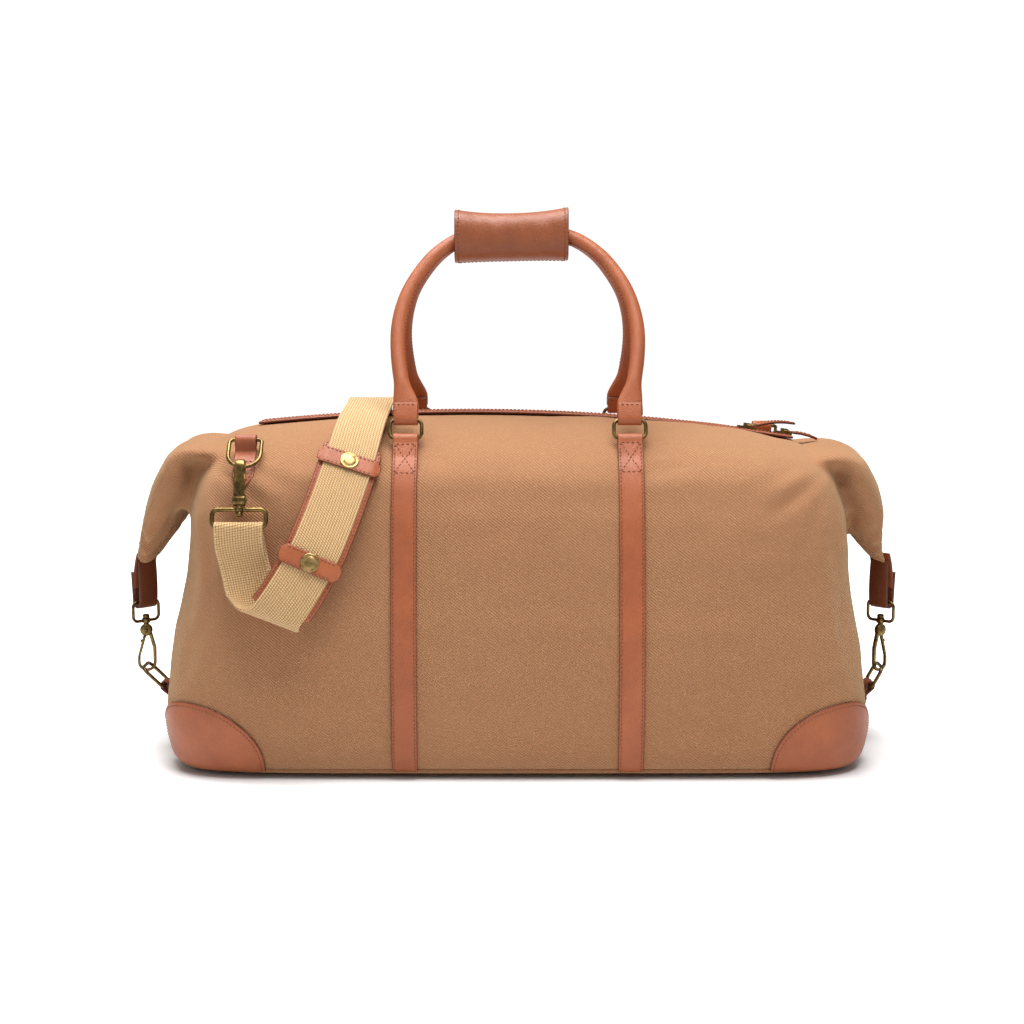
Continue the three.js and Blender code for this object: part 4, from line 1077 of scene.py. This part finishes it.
def on_zip(points, x):
    """Points drawn above the crest's middle, turned to a place along the zip."""
    angle = math.asin((x - ZIP_CREST) / ZIP_RADIUS)
    out = np.array(points, float)
    px, pz = out[:, 0].copy(), out[:, 2] + ZIP_RADIUS
    out[:, 0] = px * math.cos(angle) + pz * math.sin(angle) + ZIP_CREST
    out[:, 2] = -px * math.sin(angle) + pz * math.cos(angle) + ZIP_TOP - ZIP_RADIUS
    return out


def zip_pull(name, x, length, drop, aside, curl):
    """A strip of leather, curled a little, with a forked end at the slider."""
    along = 6 + rounded(26, length - 6, 1.2)
    width = rounded(5, 8.4, 0.9) - 4.2
    taper = 1 - 0.45 * smooth_step(along, length - 7, length)
    rise = curl * np.sin((along - 6) / (length - 6) * math.pi * 0.9)
    grid = lattice(along[:, None], taper[:, None] * width, rise[:, None] + 0.2 * np.cos(width / 4.2 * 1.5))
    flat = grid.reshape(-1, 3)
    c, s = math.cos(aside), math.sin(aside)
    fx, fy = flat[:, 0] - 9, flat[:, 1].copy()
    flat[:, 0], flat[:, 1] = 9 + fx * c - fy * s, fx * s + fy * c
    flat = turned(flat, 1, drop) + (1, 0, 4.5)
    grid = on_zip(flat, x).reshape(grid.shape)
    slab = Slab(f"{name}_leather", grid, 2.2, LEATHER, edge=0.9, body=name)
    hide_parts({"inner_pull": "zip_pull_inner", "outer_pull": "zip_pull_outer"}[name])
    slab.stitch([(3, 1.8), (slab.u[-1] - 6, 1.8)], [(3, 6.6), (slab.u[-1] - 6, 6.6)])
    fork = ring_path(11.4, 9.5, 2.0, lambda a, u: np.array((u - 1.2, a, 0)))
    link = on_zip(turned(fork, 1, drop) + (1, 0, 4.5), x)
    obj = sweep(f"{name}_link", link, circle(0.8, 10), BRASS, name, closed=True)


zip_pull("inner_pull", 190, 44, -0.12, 0.42, 2.2)
zip_pull("outer_pull", 221, 28, 0.12, 0, 1.2)

# ------------------------------------------------------------------ snap hooks, rings and tabs

TRIGGER_LEAN = math.atan2(20, 31) * 0.55


def hook_parts(head, width, height, nose, wire, depth, post):
    """(points, faces) of a hook's body and of its gate, drawn in the XZ plane about the gate's pivot."""
    half, shoulder = width / 2, height - width / 2
    line = [(-head * 0.62, 2.4), (-half, shoulder * 0.55), (-half, shoulder)]
    line += [(-half * math.cos(a), shoulder + half * math.sin(a)) for a in np.linspace(0.2, math.pi, 12)]
    line += [(half - 0.2, shoulder - nose * 0.5)]
    path = even([(x, 0, z) for x, z in line], step=0.7)
    path[1:-1] = (path[:-2] + path[1:-1] * 2 + path[2:]) / 4

    def section(t):
        return soft_box(wire * (1.25 - 0.35 * t), depth * (1 - 0.2 * t))

    bow = shape_of(sweep("bow", path, section, BRASS, normal=(0, 1, 0)))
    w = depth / 2 + 0.6
    drum = lathe([(0.01, -w), (head * 0.8, -w), (head * 0.97, -w + 0.4), (head, -w + 1), (head, w - 1),
                  (head * 0.97, w - 0.4), (head * 0.8, w), (0.01, w)], (0, 0, 0), (0, 1, 0))
    pin = [(0.01, 0.9), (0.9, 0.8), (1.6, 0.4), (1.8, 0), (1.8, -0.4)]
    pins = [lathe(pin, (0, out * w, 0), (0, out, 0), 20) for out in (-1, 1)]
    base = -head
    tip = base - post
    stem = [(2.3, base + 2), (2.3, base - 0.2), (1.9, base - 0.9), (1.5, base - 1.2), (1.5, tip), (2.9, tip),
            (2.9, tip - 2.4), (2.3, tip - 3.2), (0.8, tip - 3.6)]
    post_part = lathe(stem[::-1], (0, 0, 0), (0, 0, 1), 24)
    end = np.array((half - 0.2, 0, shoulder - nose * 0.5 - 0.6))
    aim = unit(end)
    gate_path = even([aim * (head + 0.4), aim * (head + 3), end], step=0.8)
    gate = shape_of(sweep("gate", gate_path, lambda t: soft_box(wire * (1.0 - 0.15 * t), depth * 0.8),
                          BRASS, normal=(0, 1, 0)))
    across = np.array((aim[2], 0, -aim[0]))
    outward = across if across[0] > 0 else -across
    knob = lathe([(0.01, 0), (1.3, 0.1), (1.3, 1.9), (1.0, 2.4), (0.01, 2.6)],
                 aim * (head + 5.2), outward, 16)
    return [bow, drum, *pins, post_part], [gate, knob]


def swivel_ring_parts(width, height, wire, corner, boss=3.4):
    """A ring with a swivel boss on its lower bar, which is at height zero; the ring lies in YZ."""
    path = ring_path(width, height, corner, lambda a, u: np.array((0, a, u)))
    loop = shape_of(sweep("loop", path, circle(wire), BRASS, normal=(1, 0, 0), closed=True))
    profile = [(2.0, -1.8), (boss, -1.8), (boss + 0.1, -1.2), (boss + 0.1, 1.2), (boss, 1.8), (2.0, 1.8)]
    sleeve = lathe(profile, (0, 0, 0), (0, 0, 1), 28)
    return [loop, sleeve]


def brass_piece(name, parts, body, transform, node):
    obj = gather(name, parts, BRASS, body, transform)
    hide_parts(node)
    return obj


def about_z(points, sign):
    return points * (-1, -1, 1) if sign > 0 else points


def arc(x, y, radius, first, last, count):
    return [(x + radius * math.cos(a), y + radius * math.sin(a)) for a in np.linspace(first, last, count)]


def clip(face, sign):
    """Shoulder strap hardware at one end: tab, D-ring, trigger hook and loop."""
    heights = np.arange(228, 258, 3.0)
    profile = []
    for z in heights:
        hit, _ = on_canvas(about_z(np.array([(CLIP_X, -300, z)]), sign)[0], (0, -sign, 0))
        profile.append((-abs(hit[1]) - 1.6 - 2.0 * smooth_step(z, 240, 250), z))
    path = ended(np.vstack([profile, loop_round(-79, 264.5, 1), [(-78.5, 259)]]))
    s = lengths(path)
    half = np.minimum(8.5, 1.2 + s * 0.75)
    across = rounded(7, 17, 1.0) - 8.5
    grid = about_z(lattice(CLIP_X + across * (half / 8.5)[:, None], path[:, :1], path[:, 1:]), sign)
    slab = Slab(f"strap_tab_{face}_leather", grid, 2.2, LEATHER, body="bag", flip=True)
    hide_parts(f"strap_tab_{face}")
    for where in (1, -1):
        slab.stitch([(11, 2), (24, 2)], [(11, 15), (24, 15)], [(24, 2), (24, 15)],
                    [(3, 8.5), (11, 2)], [(3, 8.5), (11, 15)],
                    side=where, name="in" if where > 0 else "out")

    down = np.array((0, -19.5, -19.5))
    reach = np.linalg.norm(down)
    down = down / reach
    width, straight = 25.5, reach - 12.75
    wire = [(a, 0) for a in np.linspace(-9.5, 9.5, 10)]
    wire += arc(9.75, 3, 3, -1.4, 0, 6) + arc(0, straight, 12.75, 0, math.pi, 26)
    wire += arc(-9.75, 3, 3, math.pi, 1.5 * math.pi - 0.1, 6)
    a, u = even(wire + wire[:1], step=0.9)[:-1].T
    points = np.stack([CLIP_X + a, -79 + down[1] * u, 264.5 + down[2] * u], 1)
    ring = sweep(f"d_ring_{face}", about_z(points, sign), circle(1.55), BRASS, f"{face}_strap_ring",
                 np.array((0, -down[2], down[1])) * (1, -sign, 1), closed=True)
    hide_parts(f"strap_ring_{face}")

    body_parts, gate_parts = hook_parts(4.6, 10.6, 31, 8, 2.4, 8.5, 4.7)

    def place(points):
        out = turned(points, 2, math.pi / 2)
        out = turned(out, 0, -TRIGGER_LEAN) + (CLIP_X, -118.5, 221)
        return about_z(out, sign)

    brass_piece(f"trigger_{face}", body_parts, f"{face}_strap_hook", place, f"strap_hook_{face}")
    brass_piece(f"trigger_gate_{face}", gate_parts, f"{face}_strap_gate", place, f"strap_gate_{face}")

    def loop_place(points):
        out = turned(points, 2, math.pi / 2)
        out = turned(out, 0, math.pi - TRIGGER_LEAN) + LOOP_TOP
        return about_z(out, sign)

    brass_piece(f"loop_{face}", swivel_ring_parts(41.6, 14, 1.75, 4.6), "bag", loop_place,
                f"strap_loop_{face}")


both(clip)


TAB_TURN, HOOK_TURN = math.radians(45), {"left": 0, "right": math.radians(35)}


def wing_hardware(side, sx):
    """A wing's tab, ring and hook, and the ring on the bag's end that the hook can hold."""
    reach = REACH[side]

    def settle(points, turn):
        out = turned(np.asarray(points, float), 2, turn) + (TAB_X + reach, 0, 0)
        return out * (sx, 1, 1)

    tab = np.array([(-3.4, 158), (-4.4, 150), (-5.2, 136), (-5.0, 126)])
    a = np.radians(np.arange(180, 361, 15.0))
    tab = np.vstack([tab, np.stack([np.cos(a) * 4.6, 122 + np.sin(a) * 4.6], 1),
                     [(4.9, 128), (5.6, 138), (6.4, 147)]])
    path = ended(even(spline(tab, 160), step=0.5), 1.0)
    width = 18
    across = rounded(7, width, 1.0) - width / 2
    grid = lattice(path[:, :1] + 0.012 * across ** 2, across, path[:, 1:])
    grid = settle(grid.reshape(-1, 3), TAB_TURN).reshape(grid.shape)
    # The tab's main leather is the darker copy, with painted shade on its inner face; the lap over it is the
    # plain cognac leather.
    slab = Slab(f"wing_tab_{side}_leather", grid, 2.3, SHADED_TAB_LEATHER, body=f"{side}_wing", flip=sx < 0)
    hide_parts(f"wing_tab_{side}")
    end = slab.u[-1]
    for where, name in ((1, "a"), (-1, "b")):
        slab.stitch([(end - 19, 2), (end - 2.2, 2)], [(end - 19, 16), (end - 2.2, 16)],
                    [(end - 2.4, 2), (end - 2.4, 16)], side=where, name=name)
    cover = np.array([(1.6, 134), (2.2, 142), (1.2, 150), (-1.0, 158), (-3.6, 164)])
    path = ended(even(spline(cover, 80), step=0.6), 1.0)
    grid = lattice(path[:, :1] - 0.014 * across ** 2, across * 1.15, path[:, 1:])
    grid = settle(grid.reshape(-1, 3), TAB_TURN).reshape(grid.shape)
    lap = Slab(f"wing_tab_{side}_lap", grid, 2.0, LEATHER, body=f"{side}_wing", flip=sx < 0)

    ring = swivel_ring_parts(25, 16.5, 1.35, 4.2)
    brass_piece(f"hook_ring_{side}", ring, f"{side}_wing_ring",
                lambda p: settle(p + (0, 0, 105.5), TAB_TURN), f"wing_ring_{side}")
    body_parts, gate_parts = hook_parts(5.2, 13.5, 34.5, 9, 2.5, 3.3, 4.9)

    def hang(points):
        return settle(turned(points, 0, math.pi) + (0, 0, 97.5), HOOK_TURN[side])

    brass_piece(f"snap_hook_{side}", body_parts, f"{side}_wing_hook", hang, f"wing_hook_{side}")
    brass_piece(f"snap_gate_{side}", gate_parts, f"{side}_wing_gate", hang, f"wing_gate_{side}")

    inner = np.array((297.6, 50.6))
    outer = np.array({"left": (314.8, 67.2), "right": (306.7, 67.2)}[side])
    rise = outer - inner
    tall = np.linalg.norm(rise)
    rise = rise / tall

    def in_ring_plane(a, u):
        return np.array((sx * (inner[0] + rise[0] * u), a, inner[1] + rise[1] * u))

    path = ring_path(27, tall, 6, in_ring_plane)
    obj = sweep(f"end_ring_{side}_wire", path, circle(1.55), BRASS, f"{side}_end_ring",
                (sx * -rise[1], 0, rise[0]), closed=True)
    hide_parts(f"end_ring_{side}")

    line = []
    for z in np.arange(22, 44, 3.0):
        hit, _ = on_canvas((sx * 400, 0, z), (-sx, 0, 0))
        line.append((abs(hit[0]) + 1.4 + 2.2 * smooth_step(z, 28, 40), z))
    a = np.radians(np.arange(-40, 221, 15.0))
    line = np.vstack([line, np.stack([inner[0] + np.cos(a) * 3.4, inner[1] + np.sin(a) * 3.4], 1),
                      [(292, 43), (291, 34)]])
    path = ended(line, 1.0)
    across = rounded(6, 16, 1.0) - 8
    grid = lattice(sx * path[:, :1], across, path[:, 1:])
    anchor = Slab(f"end_anchor_{side}_leather", grid, 2.2, LEATHER, body="bag", flip=sx < 0)
    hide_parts(f"end_anchor_{side}")
    for where in (1, -1):
        anchor.stitch([(3, 2), (20, 2)], [(3, 14), (20, 14)], [(3, 2), (3, 14)], side=where,
                      name="in" if where > 0 else "out")


wing_hardware("left", -1)
wing_hardware("right", 1)

# ------------------------------------------------------------------ shoulder webbing, pad and bands


WRAP_RADIUS = 3.2


def wrap_end():
    """Where the webbing turns back over the loop's bar, from its sewn end to the front ply."""
    x, y, z = LOOP_BAR
    back = [((-206, -124.6, 153), (1, 0, -.16)), ((-211, -121.4, 172), (1, 0, -.04)),
            ((-214, -121.6, 190), (1, 0, 0))]
    turn = [((x, y + WRAP_RADIUS * math.cos(a), z + WRAP_RADIUS * math.sin(a)), (1, 0, 0))
            for a in np.linspace(0, math.pi, 7)]
    return back + turn + [((-214, -127.4, 187), (1, 0, 0))]


start_part = wrap_end()
end_part = [((-x, -y, z), (-wx, -wy, wz)) for (x, y, z), (wx, wy, wz) in reversed(start_part)]
line = start_part + ROUTE + end_part
FIRST = len(start_part) - 1  # index offset, so that FIRST + k is the route's k-th stop
STOPS = np.array([p for p, _ in line], float)
WIDES = np.array([w for _, w in line], float)


def ribbon_grid(stops, width, raised, edge=1.0, steps=9, narrow=None):
    """A grid along part of the webbing's route, and the way outwards at each of its rows."""
    at = spline(STOPS, at=stops)
    ahead, behind = np.minimum(stops + 0.01, len(STOPS) - 1), np.maximum(stops - 0.01, 0)
    along = unit(spline(STOPS, at=ahead) - spline(STOPS, at=behind))
    wide = unit(spline(WIDES, at=stops))
    out = np.cross(wide, along)
    size = np.linalg.norm(out, axis=1, keepdims=True)
    out = unit(out)
    across = rounded(steps, width, edge) - width / 2
    stretch = np.minimum(1 / size, 1.25)
    share = np.ones(len(stops)) if narrow is None else narrow
    spread = (wide * stretch)[:, None] * (across[None, :, None] * share[:, None, None])
    return at[:, None] + spread + out[:, None] * raised, out


def crowded(first, last, count, edge_share=0.004):
    t = rounded(count, 1.0, edge_share)
    return first + (last - first) * t


stops = crowded(0, len(STOPS) - 1, 520, 0.001)
grid, _ = ribbon_grid(stops, WEBBING_WIDTH, 0)
strip = Slab("webbing_strap", grid, WEBBING_THICK, WEBBING, edge=1.0, body="bag", rim=False)
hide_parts("shoulder_webbing")
strip.stitch([(3, 1.6), (58, 1.6)], [(3, 36.4), (58, 36.4)], [(3, 2), (3, 36)], side=1,
             material=CREAM_THREAD, name="sewn_in")
strip.stitch([(62, 1.6), (118, 1.6)], [(62, 36.4), (118, 36.4)], side=1, material=CREAM_THREAD,
             name="sewn_out")

pad_stops = crowded(FIRST + 4.75, FIRST + 8.45, 90, 0.006)
t = (pad_stops - pad_stops[0]) / (pad_stops[-1] - pad_stops[0])
near = np.minimum(t, 1 - t)
narrow = np.sqrt(np.clip(1 - (1 - np.clip(near / 0.05, 0, 1)) ** 2 * 0.45, 0, 1))
grid, out = ribbon_grid(pad_stops, PAD_WIDTH, -2.9, edge=1.4, steps=14, narrow=narrow)
pad = Slab("shoulder_pad_leather", grid, PAD_THICK, LEATHER, edge=1.5, body="bag")
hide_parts("shoulder_pad")
for where in (1, -1):
    pad.stitch([(4, 2.1), (pad.u[-1] - 4, 2.1)], [(4, 44.5), (pad.u[-1] - 4, 44.5)], side=where,
               name="in" if where > 0 else "out")


def pad_band(name, node, stop):
    """A leather band over the webbing with a plain domed snap in its middle."""
    width = BAND_WIDTH
    frame_stop = np.array([FIRST + stop])
    at = spline(STOPS, at=frame_stop)[0]
    along = unit(spline(STOPS, at=frame_stop + 0.02) - spline(STOPS, at=frame_stop - 0.02))[0]
    wide = unit(spline(WIDES, at=frame_stop))[0]
    out = unit(np.cross(wide, along))
    ahead = np.cross(out, wide)
    across = rounded(20, width, 1.0) - width / 2
    length = rounded(4, 15, 1.0) - 7.5
    lift = 2.1 - 2.6 * smooth_step(abs(across), 18.5, 24.5)
    grid = at + across[:, None, None] * wide + length[None, :, None] * ahead + lift[:, None, None] * out
    ends = smooth_step(abs(across), 20.5, 25.3)
    grid = grid - (length[None, :] * (0.5 * ends)[:, None])[..., None] * ahead
    slab = Slab(name, grid, 1.7, LEATHER, edge=0.9, body="bag", flip=True)
    if (slab.normal[10, 3] * out).sum() < 0:
        slab.normal = -slab.normal
    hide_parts(node)
    slab.stitch([(6, 1.8), (width - 6, 1.8)], [(6, 13.2), (width - 6, 13.2)])
    face = at + out * 3.0
    cap = lathe([(7.4, -0.6), (7.4, 0.3), (7.1, 0.9), (6.5, 1.1), (6.0, 0.8), (5.6, 0.75), (4.6, 1.25),
                 (3.0, 1.6), (1.4, 1.75), (0.01, 1.8)],
                face, out, 56)
    snap = gather(f"{name}_snap", [cap], SNAP, "bag")


pad_band("pad_band_lower_leather", "pad_band_lower", 6)
pad_band("pad_band_upper_leather", "pad_band_upper", 8)

# ------------------------------------------------------------------ pieces kept from the CAD model

for node, material, name in (
    [(f"foot_{f}_{s}", BRASS, "brass") for f in ("front", "back") for s in ("left", "right")]
    + [("base_board", BOARD, "board"), ("zip_slider_inner", BRASS, "brass"),
       ("zip_slider_outer", BRASS, "brass")]
):
    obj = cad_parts[node]
    obj.data.materials.clear()
    obj.data.materials.append(material)
    if material is BRASS:
        soft = obj.modifiers.new("soft", "BEVEL")
        soft.width, soft.segments, soft.limit_method = 0.0004, 2, "ANGLE"

# ------------------------------------------------------------------ floor, light and camera

floor_mesh = bpy.data.meshes.new("floor")
floor_mesh.from_pydata([(-6, -4, 0), (6, -4, 0), (6, 8, 0), (-6, 8, 0)], [], [(0, 1, 2, 3)])
floor = bpy.data.objects.new("floor", floor_mesh)
bpy.context.scene.collection.objects.link(floor)
# The floor glows on camera rays so that it reads white, and the glow fades out near the bag's footprint: a
# painted contact shadow on the floor.
floor_look = Look("pale_floor_painted_shadow", Roughness=0.9)
to_camera = floor_look.node("ShaderNodeLightPath").outputs["Is Camera Ray"]
spot = floor_look.node("ShaderNodeSeparateXYZ", {0: floor_look.place})
beyond = [floor_look.minus(floor_look.size(spot.outputs[k]), reach) for k, reach in ((0, 0.29), (1, 0.13))]
near = floor_look.ramp(floor_look.calc("MAXIMUM", *beyond), -0.02, 0.075)
glow_with_painted_shadow = floor_look.times(floor_look.times(to_camera, near), 0.82)
floor_look.shader.inputs["Emission Color"].default_value = (1, 1, 1, 1)
floor_look.shader.inputs["Specular IOR Level"].default_value = 0.0
floor_mesh.materials.append(floor_look.finish(Base_Color=(0.86, 0.86, 0.86, 1), Emission_Strength=glow_with_painted_shadow))

world = bpy.data.worlds.new("studio")
bpy.context.scene.world = world
world.use_nodes = True
tree = world.node_tree
background = tree.nodes["Background"]
seen = tree.nodes.new("ShaderNodeLightPath")
level = tree.nodes.new("ShaderNodeMapRange")
level.inputs["To Min"].default_value = 0.24
level.inputs["To Max"].default_value = 1.05
tree.links.new(seen.outputs["Is Camera Ray"], level.inputs["Value"])
tree.links.new(level.outputs["Result"], background.inputs["Strength"])
background.inputs["Color"].default_value = (1, 1, 1, 1)


def area_light(name, place, target, size, power):
    data = bpy.data.lights.new(name, "AREA")
    data.shape, data.size, data.size_y, data.energy = "RECTANGLE", *size, power
    lamp = bpy.data.objects.new(name, data)
    lamp.location = place
    lamp.rotation_euler = (Vector(target) - Vector(place)).to_track_quat("-Z", "Y").to_euler()
    bpy.context.scene.collection.objects.link(lamp)


area_light("overhead", (-0.1, -0.14, 1.75), (0, -0.05, 0.2), (2.0, 0.9), 60)
area_light("front_left", (-1.5, -1.9, 1.3), (0, 0, 0.2), (1.2, 1.2), 4.8)
area_light("front_right", (1.7, -1.7, 0.9), (0, 0, 0.2), (1.0, 1.4), 2)

camera_data = bpy.data.cameras.new("camera")
camera_data.lens, camera_data.sensor_width = 62.1, 36
camera = bpy.data.objects.new("camera", camera_data)
camera.location = (-0.0046, -1.470, 0.375)
camera.rotation_euler = (math.radians(83.12), 0, 0)
bpy.context.scene.collection.objects.link(camera)
bpy.context.scene.camera = camera
bpy.context.scene.view_settings.view_transform = "Standard"
